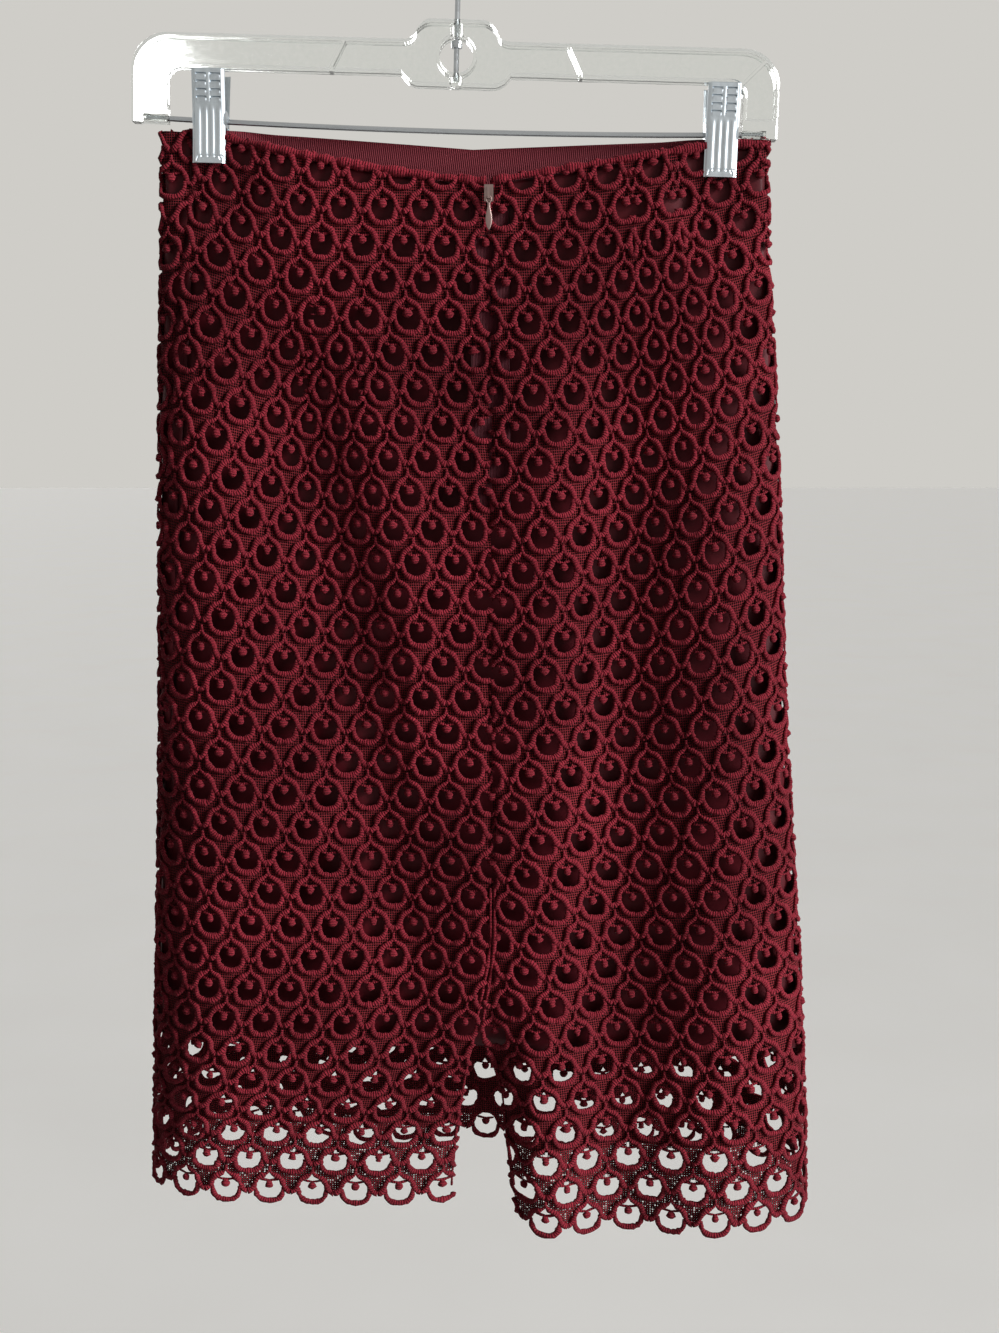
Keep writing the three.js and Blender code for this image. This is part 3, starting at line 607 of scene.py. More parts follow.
def in_polygon(polygon, x, y):
    inside = np.zeros(np.shape(x), bool)
    for (ax, ay), (bx, by) in zip(polygon, polygon[1:] + polygon[:1]):
        crosses = (ay > y) != (by > y)
        edge = ax + (y - ay) * (bx - ax) / np.where(by == ay, 1e-9, by - ay)
        inside ^= crosses & (x < edge)
    return inside


def net_cell(across, along):
    """Points (x, up) and triangles of the net round one motif."""
    verts, edges = [], []

    def ring_of(points):
        start = len(verts)
        verts.extend(Vector(p) for p in points)
        edges.extend((start + i, start + (i + 1) % len(points)) for i in range(len(points)))

    half_p, half_r = PITCH / 2, ROW / 2
    xs = np.linspace(-half_p, half_p, across + 1)
    ys = np.linspace(-half_r, half_r, along + 1)
    border = ([(x, -half_r) for x in xs[:-1]] + [(half_p, y) for y in ys[:-1]]
              + [(x, half_r) for x in xs[:0:-1]] + [(-half_p, y) for y in ys[:0:-1]])
    ring_of(border)
    ring_of(HOLE)
    for x in xs[1:-1]:
        for y in ys[1:-1]:
            near = min(math.hypot(x - px, y - py) for px, py in HOLE)
            if near > NET_KEEPS_OFF and not in_polygon(HOLE, x, y):
                verts.append(Vector((x, y)))
    points, _, faces, *_ = delaunay_2d_cdt(verts, edges, [], 0, 1e-5)
    points = np.array([tuple(p) for p in points])
    triangles = np.array(faces)
    centre = points[triangles].mean(axis=1)
    return points, triangles[~in_polygon(HOLE, centre[:, 0], centre[:, 1])]


def weld(points, faces):
    """Merges points that fall on the same place of the cloth."""
    _, first, inverse = np.unique(np.round(points, 2), axis=0, return_index=True, return_inverse=True)
    inverse = inverse.ravel()
    faces = [inverse[f] for f in faces]
    return points[first], faces


def fine_net(panel, top_v, motifs, last_v):
    """Squares of thread, open in the middle, over the rows where one sees through the net."""
    i_first, i_last = int(-3 * PITCH / MESH), int(panel.widest / MESH) + 1
    j_first, j_last = round(top_v / MESH), int((last_v + ROW / 2) / MESH)
    i, j = np.meshgrid(np.arange(i_first, i_last), np.arange(j_first, j_last), indexing="ij")
    i, j = i.ravel(), j.ravel()
    cu, cv = (i + 0.5) * MESH, (j + 0.5) * MESH
    open_hole = np.zeros(len(cu), bool)
    below = np.zeros(len(cu), bool)
    for u0, v0, _ in motifs:
        x, up = cu - u0, v0 - cv
        near = (np.abs(x) < PITCH / 2 + 1e-6) & (np.abs(up) < ROW)
        open_hole |= near & in_polygon(HOLE, x, up)
        if abs(v0 - last_v) < 1:
            below |= near & (up < wave_height(x) - 0.3)
    keep = ~open_hole & ~below
    i, j = i[keep], j[keep]
    corner = np.array([(0, 0), (1, 0), (1, 1), (0, 1)])
    outer = np.stack([i[:, None] + corner[:, 0], j[:, None] + corner[:, 1]], axis=-1) * MESH
    middle = outer.mean(axis=1, keepdims=True)
    # The threads crowd most openings nearly shut, and leave a few clear.
    opening = LEAST_OPEN + (MOST_OPEN - LEAST_OPEN) * np.random.default_rng(31).random(len(i)) ** 4
    inner = middle + (outer - middle) * opening[:, None, None]
    points = np.concatenate([outer.reshape(-1, 2), inner.reshape(-1, 2)])
    rim = np.arange(len(i) * 4).reshape(-1, 4)
    return points, tube_quads(rim + rim.size, rim)


def net_mesh(panel, motifs, first_fine):
    """The net of a panel, laid on the form and flat. Its rows are open mesh from one of them down."""
    cell, cell_triangles = net_cell(*((10, 7) if panel.side else (7, 5)))
    coarse = motifs[motifs[:, 2] < first_fine]
    points = np.concatenate([(u0, v0) + cell * (1, -1) for u0, v0, _ in coarse])
    triangles = np.concatenate([cell_triangles + k * len(cell) for k in range(len(coarse))])
    top_v = math.ceil((coarse[:, 1].max() + ROW / 2) / MESH) * MESH
    points[np.abs(points[:, 1] - coarse[:, 1].max() - ROW / 2) < 1e-6, 1] = top_v
    last_v = motifs[:, 1].max()
    fine, squares = fine_net(panel, top_v, motifs[motifs[:, 2] >= first_fine - 1], last_v)
    points, faces = weld(np.concatenate([points, fine]), [triangles, squares + len(points)])
    place, _, outside = panel.place(points[:, 0], points[:, 1])
    kept = []
    for some in faces:
        some = some[~outside[some].all(axis=1)]
        a, b, c = (place[some[:, k]] for k in range(3))
        some = some[np.linalg.norm(np.cross(b - a, c - a), axis=1) > 1e-3]
        # The left panel's cloth runs the other way, and with it the side that faces out.
        kept.append(some[:, ::-1] if panel.side < 0 else some)
    return place, kept, points


# ---- Materials ----


class Nodes:
    """A short way to write a node tree."""

    def __init__(self, name):
        self.material = bpy.data.materials.new(name)
        self.material.use_nodes = True
        self.tree = self.material.node_tree
        self.shader = self.tree.nodes["Principled BSDF"]

    def feed(self, socket, value):
        """Links a socket to another one, or sets it to a number, a vector or a colour."""
        if isinstance(value, bpy.types.NodeSocket):
            self.tree.links.new(value, socket)
        else:
            socket.default_value = (*value, 1) if socket.type == "RGBA" else value

    def add(self, kind, **inputs):
        node = self.tree.nodes.new("ShaderNode" + kind)
        for key, value in inputs.items():
            self.feed(node.inputs[key], value)
        return node

    def set(self, **inputs):
        for key, value in inputs.items():
            self.feed(self.shader.inputs[key.replace("_", " ")], value)

    def noise(self, vector, scale, detail=3, roughness=0.6):
        return self.add("TexNoise", Vector=vector, Scale=scale, Detail=detail,
                        Roughness=roughness).outputs["Fac"]

    def ramp(self, factor, stops):
        node = self.add("ValToRGB", Fac=factor)
        for element, (at, colour) in zip(node.color_ramp.elements, stops):
            element.position = at
            element.color = (*colour, 1)
        return node.outputs["Color"]

    def math(self, operation, *values):
        node = self.add("Math")
        node.operation = operation
        for socket, value in zip(node.inputs, values):
            self.feed(socket, value)
        return node.outputs["Value"]

    def mix(self, factor, a, b, blend="MIX"):
        node = self.add("Mix")
        node.data_type = "RGBA"
        node.blend_type = blend
        for index, value in ((0, factor), (6, a), (7, b)):
            self.feed(node.inputs[index], value)
        return node.outputs[2]

    def bump(self, height, distance, strength=1.0):
        return self.add("Bump", Height=height, Distance=distance, Strength=strength).outputs["Normal"]

    def place(self):
        return self.add("TexCoord").outputs["Object"]

    def weave(self):
        node = self.add("UVMap")
        node.uv_map = "Weave"
        u, v, _ = self.add("SeparateXYZ", Vector=node.outputs["UV"]).outputs
        return u, v

    def stretched(self, vector, scale):
        return self.add("Mapping", Vector=vector, Scale=scale).outputs["Vector"]


def srgb(r, g, b):
    """A linear colour from 0..255 sRGB values."""
    def linear(c):
        c /= 255
        return c / 12.92 if c <= 0.04045 else ((c + 0.055) / 1.055) ** 2.4
    return (linear(r), linear(g), linear(b))


BLACK, WHITE = (0, 0, 0), (1, 1, 1)


def cloth_shade(n, low, high):
    """Slow variation of the dye over the whole garment, and a finer one within the thread."""
    place = n.place()
    slow = n.noise(place, 9, 2)
    fine = n.noise(place, 900, 3)
    both = n.math("ADD", n.math("MULTIPLY", slow, 0.45), n.math("MULTIPLY", fine, 0.55))
    return n.ramp(both, [(0.32, low), (0.68, high)])


def cord_material():
    n = Nodes("lace_cord")
    colour = cloth_shade(n, srgb(104, 18, 30), srgb(204, 64, 82))
    u, _ = n.weave()
    wobble = n.math("MULTIPLY", n.noise(n.place(), 400, 2), 5.0)
    stitch = n.math("SINE", n.math("ADD", n.math("MULTIPLY", u, 2 * math.pi / 1.5), wobble))
    fuzz = n.noise(n.place(), 1700, 4, 0.75)
    height = n.math("ADD", n.math("MULTIPLY", stitch, 0.5), n.math("MULTIPLY", fuzz, 1.2))
    # The colour is darker between the stitches: painted shade in the grooves, following the bump's ridges.
    shade = n.math("MULTIPLY_ADD", stitch, 0.2, 0.8)
    n.set(Base_Color=n.mix(1.0, colour, n.ramp(shade, [(0, BLACK), (1, WHITE)]), "MULTIPLY"),
          Normal=n.bump(height, 0.0007), Roughness=0.88, Specular_IOR_Level=0.12,
          Sheen_Weight=0.25, Sheen_Roughness=0.5, Sheen_Tint=srgb(220, 120, 130))
    return n.material


def net_material():
    n = Nodes("lace_net")
    colour = cloth_shade(n, srgb(84, 16, 26), srgb(178, 64, 72))
    waves = [n.math("MULTIPLY", n.math("COSINE", n.math("MULTIPLY", axis, 2 * math.pi / MESH)), 0.5)
             for axis in n.weave()]
    # 1 in the middle of each square opening, where both cosines are at their lowest.
    opening = n.math("MULTIPLY", n.math("SUBTRACT", 0.5, waves[0]), n.math("SUBTRACT", 0.5, waves[1]))
    # The openings are painted nearly black: painted shade standing for the dark gap seen through the net's
    # holes.
    hole_shade_mask = n.ramp(opening, [(0.02, BLACK), (0.16, WHITE)])
    fuzz = n.noise(n.place(), 2200, 3, 0.7)
    height = n.math("ADD", n.math("MULTIPLY", opening, -1.0), n.math("MULTIPLY", fuzz, 0.35))
    n.set(Base_Color=n.mix(hole_shade_mask, colour, srgb(16, 2, 5)), Normal=n.bump(height, 0.0006), Roughness=0.9,
          Specular_IOR_Level=0.1, Sheen_Weight=0.12, Sheen_Roughness=0.5, Sheen_Tint=srgb(220, 110, 120))
    return n.material


def lining_material():
    n = Nodes("lining_satin")
    place = n.place()
    slow = n.noise(place, 14, 2)
    weft = n.noise(n.stretched(place, (260, 260, 5200)), 1, 2)
    tone = n.math("ADD", n.math("MULTIPLY", slow, 0.6), n.math("MULTIPLY", weft, 0.4))
    n.set(Base_Color=n.ramp(tone, [(0.3, srgb(70, 10, 20)), (0.7, srgb(100, 18, 30))]),
          Normal=n.bump(weft, 0.00012, 0.6), Roughness=0.5, Specular_IOR_Level=0.2, Sheen_Weight=0.05)
    return n.material


def ribbon_material(name, low, high, pitch):
    n = Nodes(name)
    u, _ = n.weave()
    ribs = n.math("SINE", n.math("MULTIPLY", u, 2 * math.pi / pitch))
    fine = n.noise(n.place(), 1500, 3)
    # The tone is lighter on the ribs and darker between them: painted shade in the grooves, with a random
    # tone from the fine noise on top.
    tone = n.math("MULTIPLY_ADD", ribs, 0.22, n.math("MULTIPLY_ADD", fine, 0.5, 0.25))
    height = n.math("MULTIPLY_ADD", ribs, 1.0, n.math("MULTIPLY", fine, 0.5))
    n.set(Base_Color=n.ramp(tone, [(0.2, low), (0.8, high)]), Normal=n.bump(height, 0.0002, 0.8),
          Roughness=0.62, Specular_IOR_Level=0.2, Sheen_Weight=0.12, Sheen_Roughness=0.4)
    return n.material


def metal_material(name, colour, roughness, grain):
    n = Nodes(name)
    place = n.place()
    streaks = n.noise(n.stretched(place, grain), 1, 3)
    spots = n.noise(place, 120, 3)
    dark = tuple(c * 0.82 for c in colour)
    rough = n.math("MULTIPLY_ADD", spots, 0.14, n.math("MULTIPLY_ADD", streaks, 0.1, roughness - 0.12))
    n.set(Base_Color=n.ramp(streaks, [(0.35, dark), (0.65, colour)]), Roughness=rough, Metallic=1.0,
          Normal=n.bump(streaks, 0.00004, 0.4))
    return n.material


def plastic_material():
    n = Nodes("clear_plastic")
    place = n.place()
    ripple = n.noise(n.stretched(place, (30, 60, 90)), 1, 2)
    scuff = n.noise(place, 420, 4, 0.7)
    n.set(Base_Color=n.ramp(scuff, [(0.3, srgb(244, 248, 246)), (0.7, srgb(252, 254, 253))]),
          Roughness=n.math("MULTIPLY_ADD", scuff, 0.10, 0.02), Transmission_Weight=1.0, IOR=1.46,
          Normal=n.bump(n.math("ADD", ripple, n.math("MULTIPLY", scuff, 0.05)), 0.0006, 0.35))
    return n.material


CORD = cord_material()
NET = net_material()
SATIN = lining_material()
GROSGRAIN = ribbon_material("waist_ribbon", srgb(92, 22, 34), srgb(140, 44, 58), 1.15)
TAPE = ribbon_material("zip_tape_weave", srgb(60, 12, 24), srgb(96, 24, 38), 0.8)
STEEL = metal_material("clip_steel", srgb(200, 208, 214), 0.42, (240, 240, 24))
ROD_STEEL = metal_material("rod_steel", srgb(186, 190, 194), 0.22, (18, 300, 300))
SLIDER_METAL = metal_material("slider_metal", srgb(150, 128, 124), 0.4, (300, 300, 60))
PLASTIC = plastic_material()

# ---- The lace pieces ----


def on_garment(name, shape, material, slot, *nodes, closed=True):
    """A piece of the garment, standing for the CAD nodes named."""
    piece = make_mesh(name, shape, material, closed)
    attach(piece, GARMENT)
    if nodes:
        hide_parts(*nodes)
    return piece


def flat_area(points, faces):
    """The area in square metres of faces in the plane of the cloth."""
    total = 0.0
    for face in faces:
        x, y = points[face][..., 0], points[face][..., 1]
        cross = x * np.roll(y, -1, axis=1) - y * np.roll(x, -1, axis=1)
        total += np.abs(cross.sum(axis=1)).sum() / 2
    return total * MM * MM


def build_panel(panel):
    motifs = motif_grid(panel)
    place, faces, flat = net_mesh(panel, motifs, ROWS - (3 if panel.side else 1))
    net = on_garment(panel.name + "_net", (place, faces, flat), NET, "lace", panel.name + "_panel",
                     closed=False)

    # The front only shows through holes and from behind, so its cords and its net are coarser.
    sides, step = (6, 1.5) if panel.side else (5, 2.5)
    scallop = smooth_path(SCALLOP, step)
    # The cord thins on its way up the stem, and is a little fuller at its feet.
    stem = smooth((scallop[:, 1] - 8.0) / 4.5)
    taper = 0.92 - 0.5 * stem + 0.12 * smooth((1 - scallop[:, 1]) / 3)
    waves = gather(cord_tubes(panel, motifs, scallop, taper, CORD_LIFT, sides, seed=2),
                   cord_tubes(panel, motifs, scallop * [-1, 1], taper, CORD_LIFT, sides, seed=3),
                   *edge_rolls(panel))

    loop = smooth_path(LOOP, step)
    ends = np.minimum(np.arange(len(loop)), np.arange(len(loop))[::-1])
    loop_taper = np.clip(0.58 + 0.12 * ends, 0, 0.92)
    bar = smooth_path(BAR, 2.6)
    rounds = gather(cord_tubes(panel, motifs, loop, loop_taper, CORD_LIFT, sides, seed=4),
                    cord_tubes(panel, motifs, bar, np.full(len(bar), 0.42), lift=0.15, sides=4, seed=6))

    cords = [on_garment(f"{panel.name}_{kind}", shape, CORD, "lace")
             for kind, shape in (("scallop_cords", waves), ("loop_cords", rounds),
                                 ("knobs", knobs(panel, motifs)))]
    return net, flat_area(flat, faces), cords


# What the lace does on each panel: where its seam cuts it, how wide it is, how its rows rise to
# the side, and how it shortens towards the hem.
DART_PLACES = (97, 148)
FRONT_DARTS = (92, 164, 302, 374)


def left_rise(s, v):
    beyond = np.abs(s) - 108
    return 0.155 * (beyond + np.hypot(beyond, 14)) / (1 + (np.maximum(v, 0) / 220) ** 3)


def right_rise(s, v):
    return 0.0009 * s**2 / (1 + (np.maximum(v, 0) / 420) ** 3)


def front_rise(s, v):
    return 6 * (np.abs(s / LACE.girth(v) - 0.5) / 0.26) ** 2


LEFT = Panel(
    "back_left", -1, 67.6 - 2.5 * PITCH, 19.8, 0.984, DART_PLACES, (75, 150), rise=left_rise,
    edge=lambda v: 29 * smooth(v / 370) - 19 * smooth((v - 440) / 180),
    width=lambda v: PITCH * (9.43 - 1.1 * smooth((v - 40) / 300) + 0.85 * smooth((v - 330) / 170)
                             - 0.45 * smooth((v - 520) / 100)),
    hem=lambda v: -10 * smooth((v - 520) / 100) + 3.5 * smooth(v / 160) * (1 - smooth((v - 480) / 120)))
RIGHT = Panel(
    "back_right", 1, 32.7 - 1.5 * PITCH, 20.7, 0.992, DART_PLACES, (0, 95), rise=right_rise,
    edge=lambda v: -13 * smooth(v / 250) - 38 * smooth((v - 300) / 270),
    width=lambda v: PITCH * (8.95 - 0.35 * smooth((v - 60) / 220) + 0.25 * smooth((v - 380) / 90)
                             - 0.2 * smooth((v - 530) / 80)),
    hem=lambda v: 5 * np.sin(np.pi * np.clip(v / SKIRT_LENGTH, 0, 1)))
MIDDLE = Panel("front", 0, 0.0, 14.0, 0.985, FRONT_DARTS, (0, 95), rise=front_rise,
               edge=lambda v: 0 * v, width=lambda v: 17.9 * PITCH + 0 * v, hem=lambda v: 0 * v)

sheets = [(panel, *build_panel(panel)) for panel in (LEFT, RIGHT, MIDDLE)]

# ---- Lining, ribbon and zip ----


def shell(layer, ends, top, bottom, offset, thickness, across, along, crease=None):
    """A thin wall of cloth, ends and top and bottom being where it stops along s and down."""
    u = np.linspace(0, 1, across + 1)[None, :]
    t = np.linspace(0, 1, along + 1)[:, None]
    down = mix(top(u), bottom(u), t ** 1.2)
    s, down = np.broadcast_arrays(mix(*ends(down), u), down)
    point = layer.point(s, down)
    normal = layer.outward(s, down)
    shift = offset + (crease(s, down) if crease else 0)
    outer, inner = (point + normal * np.asarray(shift + side * thickness / 2)[..., None] for side in (1, -1))
    uv = np.stack([s, down], axis=-1).reshape(-1, 2)
    return *wall(outer, inner), np.concatenate([uv, uv])


def lining_crease(s, down):
    """Shallow, uneven creases in the hanging satin, fading out at the waist."""
    grown = smooth((down - 60) / 200)
    drift = down / 90
    return grown * (1.1 * np.sin(s / 17 + 0.6 * np.sin(drift)) + 0.7 * np.sin(s / 9.3 + drift)
                    + 0.5 * np.sin(s / 31 - drift * 0.7))


def lining_piece(name, on_back):
    def seams(down):
        seam = LINING.seam(down)
        return (-seam, seam) if on_back else (seam, LINING.girth(down) - seam)

    def ends(down):
        first, last = seams(down)
        return first + SEAM_GAP / 2, last - SEAM_GAP / 2

    def top(u):
        x = LINING.waist_x(mix(*seams(0.0), u))
        if on_back:
            return back_dip(x) + 1.5
        # The front hangs from under the ribbon, and rises to the waist beside the seams.
        return front_dip(x) + 2 + 29.5 * smooth((np.minimum(u, 1 - u) - 0.03) / 0.05)

    shape = shell(LINING, ends, top, lambda u: LINING_LENGTH, 0, 0.5, 130, 84, lining_crease)
    return on_garment(name, shape, SATIN, "lining", name.replace("_cloth", ""))


lining_back = lining_piece("lining_back_cloth", True)
lining_front = lining_piece("lining_front_cloth", False)


def below_front_waist(distance):
    def down(u):
        s = mix(LACE.seam(0.0), LACE.girth(0.0) - LACE.seam(0.0), u)
        return front_dip(LACE.waist_x(s)) + distance
    return down


def ribbon_ends(down):
    return LACE.seam(down) + RIBBON_STARTS, LACE.girth(down) - LACE.seam(down) - RIBBON_STOPS


RIBBON_STARTS, RIBBON_STOPS, RIBBON_TOP, RIBBON_FOOT = 18, 34, -3.4, 28
ribbon = on_garment("waist_ribbon", shell(
    LACE, ribbon_ends, below_front_waist(RIBBON_TOP), below_front_waist(RIBBON_FOOT), -2.3, 0.8, 240, 10),
    GROSGRAIN, "ribbon", "waist_facing")

TAPE_HALF_WIDTH, TAPE_TOP, TAPE_FOOT = 11, 24, 202
tape = on_garment("zip_tape_cloth", shell(
    LACE, lambda down: (-TAPE_HALF_WIDTH, TAPE_HALF_WIDTH), lambda u: TAPE_TOP, lambda u: TAPE_FOOT,
    -2.0, 0.6, 16, 90), TAPE, "zip_tape", "zip_tape")


def zip_coil():
    """The closed coil's teeth, one short bar across the zip for each, on the tape's inner face."""
    top, foot, pitch, depth = 46, 196, 1.3, 2.75
    half_thickness, half_height, sides = 0.4, 0.42, 6
    s = np.array([-2.3, -1.7, 1.7, 2.3])
    swell = np.array([0.5, 1, 1, 0.5])[:, None, None]
    down, s = np.meshgrid(np.arange(top, foot, pitch), s, indexing="ij")
    point, normal = LACE.point(s, down), LACE.outward(s, down)
    up = np.array([0.0, 0.0, 1.0])
    angle = circle(sides)[:, None]
    ring = (point[:, :, None, :] + normal[:, :, None, :] * (swell * half_thickness * np.cos(angle) - depth)
            + swell * half_height * np.sin(angle) * up)
    index = np.arange(ring[..., 0].size).reshape(ring.shape[:3])
    faces = [tube_quads(index[:, :-1], index[:, 1:]), np.concatenate([index[:, 0, ::-1], index[:, -1]])]
    uv = np.stack([np.repeat(s.ravel(), sides), np.repeat(down.ravel(), sides)], axis=1)
    return ring.reshape(-1, 3), faces, uv


on_garment("zip_coil", zip_coil(), TAPE, "zip_tape")

# ---- Clips, slider and pull ----

TILT = math.radians(1.6)
ROD_END_Z, ROD_SAG, ROD_HALF_LENGTH = -129.6, 3, 170
JAW_WIDTH, JAW_ABOVE, JAW_BELOW, JAW_GRIP = 18, 26, 23.3, 14
JAW_PLATE, GRIP_Y, PIVOT_Y, TOP_Y, WAIST_LIFT = 1.1, 5.5, 6.4, 10.4, 2
EAR_THICKNESS, EAR_REACH, EAR_HEIGHT, EAR_LIFT = 0.8, 4.4, 9, 0.5
LOUVRES = (3.6, 7.6, 11.6, 15.6)
FLUTES = (-5.5, -1.8, 1.9, 5.6)


def tilted(points):
    """From the hanger's own upright frame to the way it hangs."""
    x, y, z = points[..., 0], points[..., 1], points[..., 2]
    return np.stack([x * math.cos(TILT) + z * math.sin(TILT), y,
                     -x * math.sin(TILT) + z * math.cos(TILT)], axis=-1)


def plateau(x, low, high, soft):
    return smooth((x - low) / soft + 0.5) * smooth((high - x) / soft + 0.5)


def jaw_relief(a, d):
    """How far the pressed plate stands out: a runs across it, d down from its top, in mm."""
    height = -1.3 * smooth((np.abs(a) - 7.0) / 2.0) - 0.8 * smooth((0.9 - d) / 1.2)
    height += 0.3 * np.exp(-((a / 0.8) ** 4)) * plateau(d, 2.6, 17.6, 1.0)
    for middle in (-3.9, 3.9):
        beside = plateau(a, middle - 2.6, middle + 2.6, 0.5)
        for row in LOUVRES:
            below = d - row
            height += beside * np.where((below > 0) & (below < 2.3), 0.75 * (1 - below / 2.3), 0)
            height -= beside * np.where((below > -0.9) & (below <= 0), 0.95, 0)
    for flute in FLUTES:
        height += 0.5 * np.exp(-(((a - flute) / 1.0) ** 4)) * plateau(d, 20.5, 45.0, 1.6)
        height -= 0.6 * np.exp(-(((a - flute - 1.7) / 0.7) ** 2)) * plateau(d, 45.1, 46.3, 0.4)
    slanted = np.abs(a) - 5.6 - (d - 45.4) * 0.45
    height -= 0.55 * np.exp(-((slanted / 0.4) ** 2)) * plateau(d, 45.4, 48.6, 0.5)
    return height + 0.5 * smooth((d - 47.4) / 1.6)


def jaw(x, facing):
    """One pressed jaw, from the lever at the top to the lip that grips the cloth."""
    z = ROD_END_Z - ROD_SAG * (1 - (x / ROD_HALF_LENGTH) ** 2)
    heights = np.array([z + JAW_ABOVE, z + WAIST_LIFT, z - JAW_BELOW + JAW_GRIP, z - JAW_BELOW])
    depths = np.array([TOP_Y, PIVOT_Y, GRIP_Y, GRIP_Y])
    length = heights[0] - heights[-1]
    d = np.concatenate([np.arange(0, 18.6, 0.32), np.arange(19.2, 44.6, 1.4), np.arange(44.8, length, 0.32),
                        [length]])
    a = np.linspace(-JAW_WIDTH / 2, JAW_WIDTH / 2, 57)
    a, d = np.meshgrid(a, d)
    level = heights[0] - d
    y = np.interp(-level, -heights, depths)
    inner = np.stack([x + a, y, level], axis=-1)
    inner[..., 1] -= 0.7 * smooth((np.abs(a) - 7.4) / 1.6)
    outer = np.stack([x + a, y + JAW_PLATE + jaw_relief(a, d), level], axis=-1)
    parts = [wall(outer, inner)]
    spread = JAW_WIDTH / 2 - EAR_THICKNESS * (0.5 if facing < 0 else 2)
    turn = circle(24)
    reach = PIVOT_Y + JAW_PLATE / 2 + EAR_REACH
    ear = np.stack([np.zeros(24), reach / 2 - EAR_REACH + signed_power(np.cos(turn), 0.6) * reach / 2,
                    z + EAR_LIFT + signed_power(np.sin(turn), 0.6) * EAR_HEIGHT / 2], axis=-1)
    for side in (-1, 1):
        parts.append(loft([ear + [x + side * spread + dx, 0, 0]
                           for dx in (-EAR_THICKNESS / 2, EAR_THICKNESS / 2)]))
    points, faces = gather_solids(*parts)
    return tilted(points * [1, facing, 1]), faces


def steel_piece(name, shape, material, body, node):
    piece = make_mesh(name, shape, material)
    piece.data.set_sharp_from_angle(angle=math.radians(38))
    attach(piece, body)
    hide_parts(node)


for side, clip_x in (("left", -134.5), ("right", 146.7)):
    for name, facing in (("near", -1), ("far", 1)):
        steel_piece(f"clip_{side}_{name}_plate", jaw(clip_x, facing), STEEL, GARMENT,
                    f"clip_{side}_{name}_jaw")

# The leaf's outline: down from the top of the pull, half width, half thickness.
LEAF = ((4.0, 0.9, 0.36), (5.2, 0.72, 0.36), (6.6, 0.78, 0.4), (8.6, 1.2, 0.44), (10.8, 1.68, 0.46),
        (13.0, 1.9, 0.46), (15.2, 1.72, 0.44), (17.0, 1.2, 0.4), (18.2, 0.62, 0.34), (18.7, 0.2, 0.2))
EYE_DOWN, EYE_HALF_WIDTH, EYE_HALF_HEIGHT, EYE_WIRE = 2.45, 1.35, 2.0, 0.36
low, high = (np.array(corner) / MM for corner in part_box("zip_pull"))


def pull_tab():
    """A leaf of cast metal, with an eye at its top round the slider's bridge."""
    turn = circle(20)
    leaf = loft([np.stack([half * signed_power(np.cos(turn), 0.8), thick * np.sin(turn),
                           np.full(20, -down)], axis=-1) for down, half, thick in LEAF])
    around, section = circle(28)[:, None], circle(8)
    wire = EYE_WIRE * np.cos(section)
    eye = np.stack(np.broadcast_arrays(
        (EYE_HALF_WIDTH + wire) * np.cos(around), EYE_WIRE * np.sin(section),
        -EYE_DOWN - (EYE_HALF_HEIGHT + wire) * np.sin(around)), axis=-1).reshape(-1, 3)
    index = np.arange(len(eye)).reshape(28, 8).T
    points, faces = gather_solids(leaf, (eye, [tube_quads(index, np.roll(index, -1, 0))]))
    return points + [(low[0] + high[0]) / 2, (low[1] + high[1]) / 2, high[2]], faces


steel_piece("zip_pull_leaf", pull_tab(), SLIDER_METAL, "pull_tab", "zip_pull")

# ---- The carried-over hard pieces ----

for material, nodes in ((PLASTIC, ("hanger_frame",)), (SLIDER_METAL, ("zip_slider",)),
                        (ROD_STEEL, ("hanger_hook", "hanger_rod", "clip_left_spring", "clip_right_spring"))):
    for node in nodes:
        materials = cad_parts[node].data.materials
        materials.clear()
        materials.append(material)

# ---- Floor, light and camera ----

WALL = srgb(207, 205, 200)


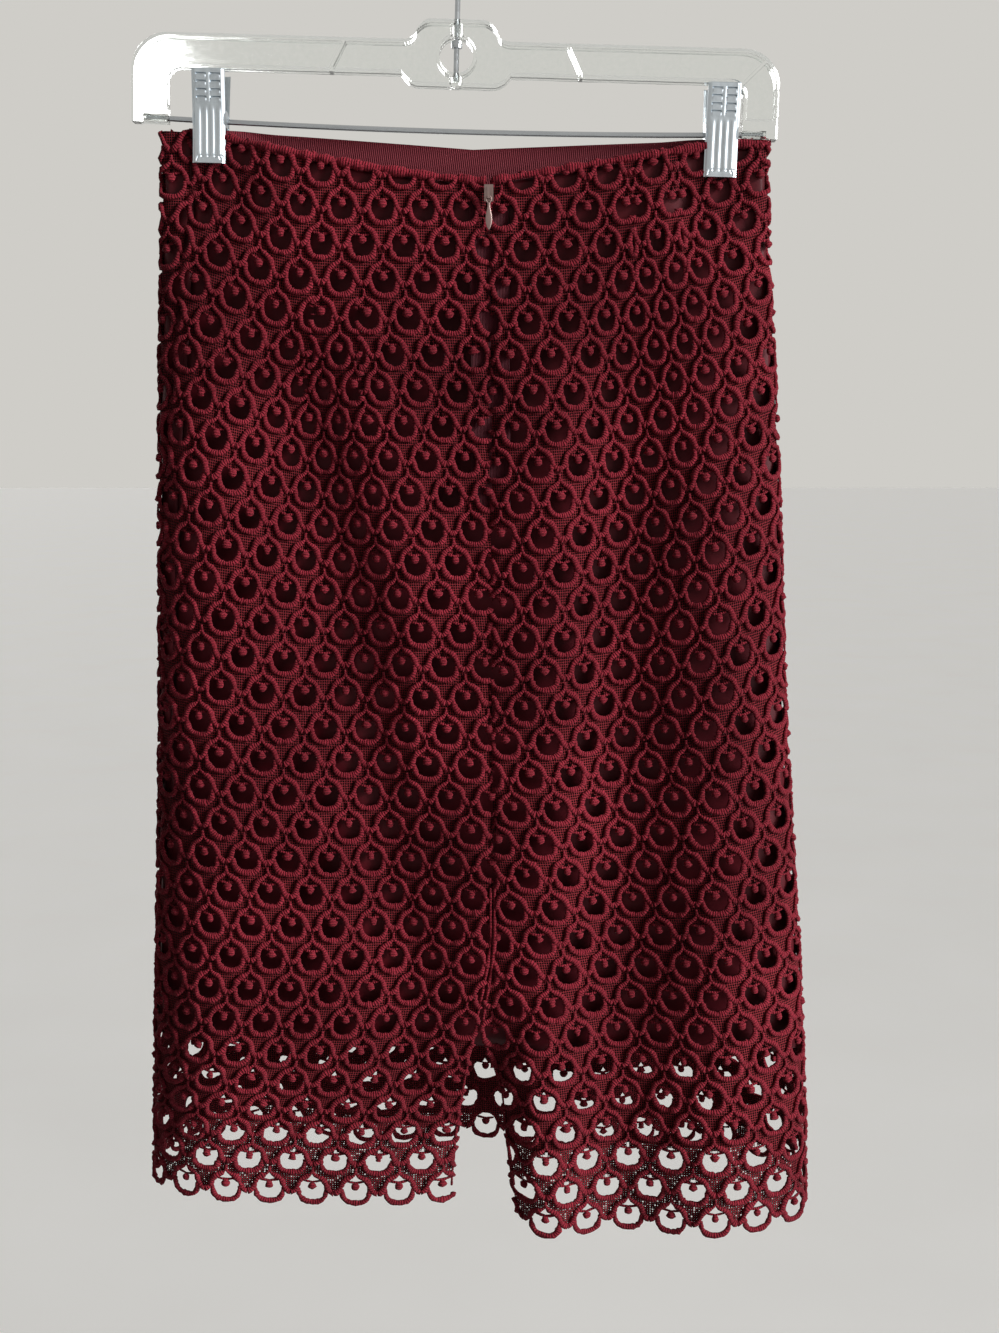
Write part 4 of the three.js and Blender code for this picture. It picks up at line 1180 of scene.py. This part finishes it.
def floor():
    mesh = bpy.data.meshes.new("floor")
    reach, height = 40.0, -1.35
    corners = ((-reach, -reach), (reach, -reach), (reach, reach), (-reach, reach))
    mesh.from_pydata([(*corner, height) for corner in corners], [], [(0, 1, 2, 3)])
    n = Nodes("pale_floor")
    n.set(Base_Color=n.ramp(n.noise(n.place(), 3), [(0.3, (0.80, 0.79, 0.77)), (0.7, (0.84, 0.83, 0.81))]),
          Roughness=0.9, Specular_IOR_Level=0.1, Emission_Color=WALL, Emission_Strength=0.31)
    mesh.materials.append(n.material)
    piece = in_scene("floor", mesh)
    piece.visible_diffuse = False


def lamp(kind, name, place, target, power, **settings):
    data = bpy.data.lights.new(name, kind)
    data.energy = power
    for key, value in settings.items():
        setattr(data, key, value)
    piece = in_scene(name, data)
    piece.location = place
    piece.rotation_euler = (Vector(target) - Vector(place)).to_track_quat("-Z", "Y").to_euler()


def studio_world():
    """A pale studio all round: dim as a source of soft light, bright to look at or reflect."""
    world = bpy.data.worlds.new("studio")
    world.use_nodes = True
    tree = world.node_tree
    background = tree.nodes["Background"]
    background.inputs["Color"].default_value = (*WALL, 1)
    path = tree.nodes.new("ShaderNodeLightPath")
    strength = tree.nodes.new("ShaderNodeMapRange")
    strength.inputs["To Min"].default_value = 1.0
    strength.inputs["To Max"].default_value = 0.12
    tree.links.new(path.outputs["Is Diffuse Ray"], strength.inputs["Value"])
    tree.links.new(strength.outputs["Result"], background.inputs["Strength"])
    bpy.context.scene.world = world


floor()
studio_world()
MIDDLE_OF_SKIRT = (0, 0, -0.42)
lamp("SUN", "window", (2.2, -1.0, 0.55), MIDDLE_OF_SKIRT, 2.9, angle=math.radians(16))
lamp("AREA", "key", (1.5, -1.1, -0.3), MIDDLE_OF_SKIRT, 12, shape="RECTANGLE", size=0.9, size_y=1.2)
lamp("SUN", "fill", (-0.9, 2.2, -0.3), MIDDLE_OF_SKIRT, 1.3, angle=math.radians(30))

bpy.context.scene.view_settings.view_transform = "Standard"
camera = in_scene("camera", bpy.data.cameras.new("camera"))
camera.data.sensor_width = 36
camera.data.lens = 42.13
camera.location = (0.021, -0.894, -0.305)
camera.rotation_euler = (math.radians(82), 0, 0)
bpy.context.scene.camera = camera
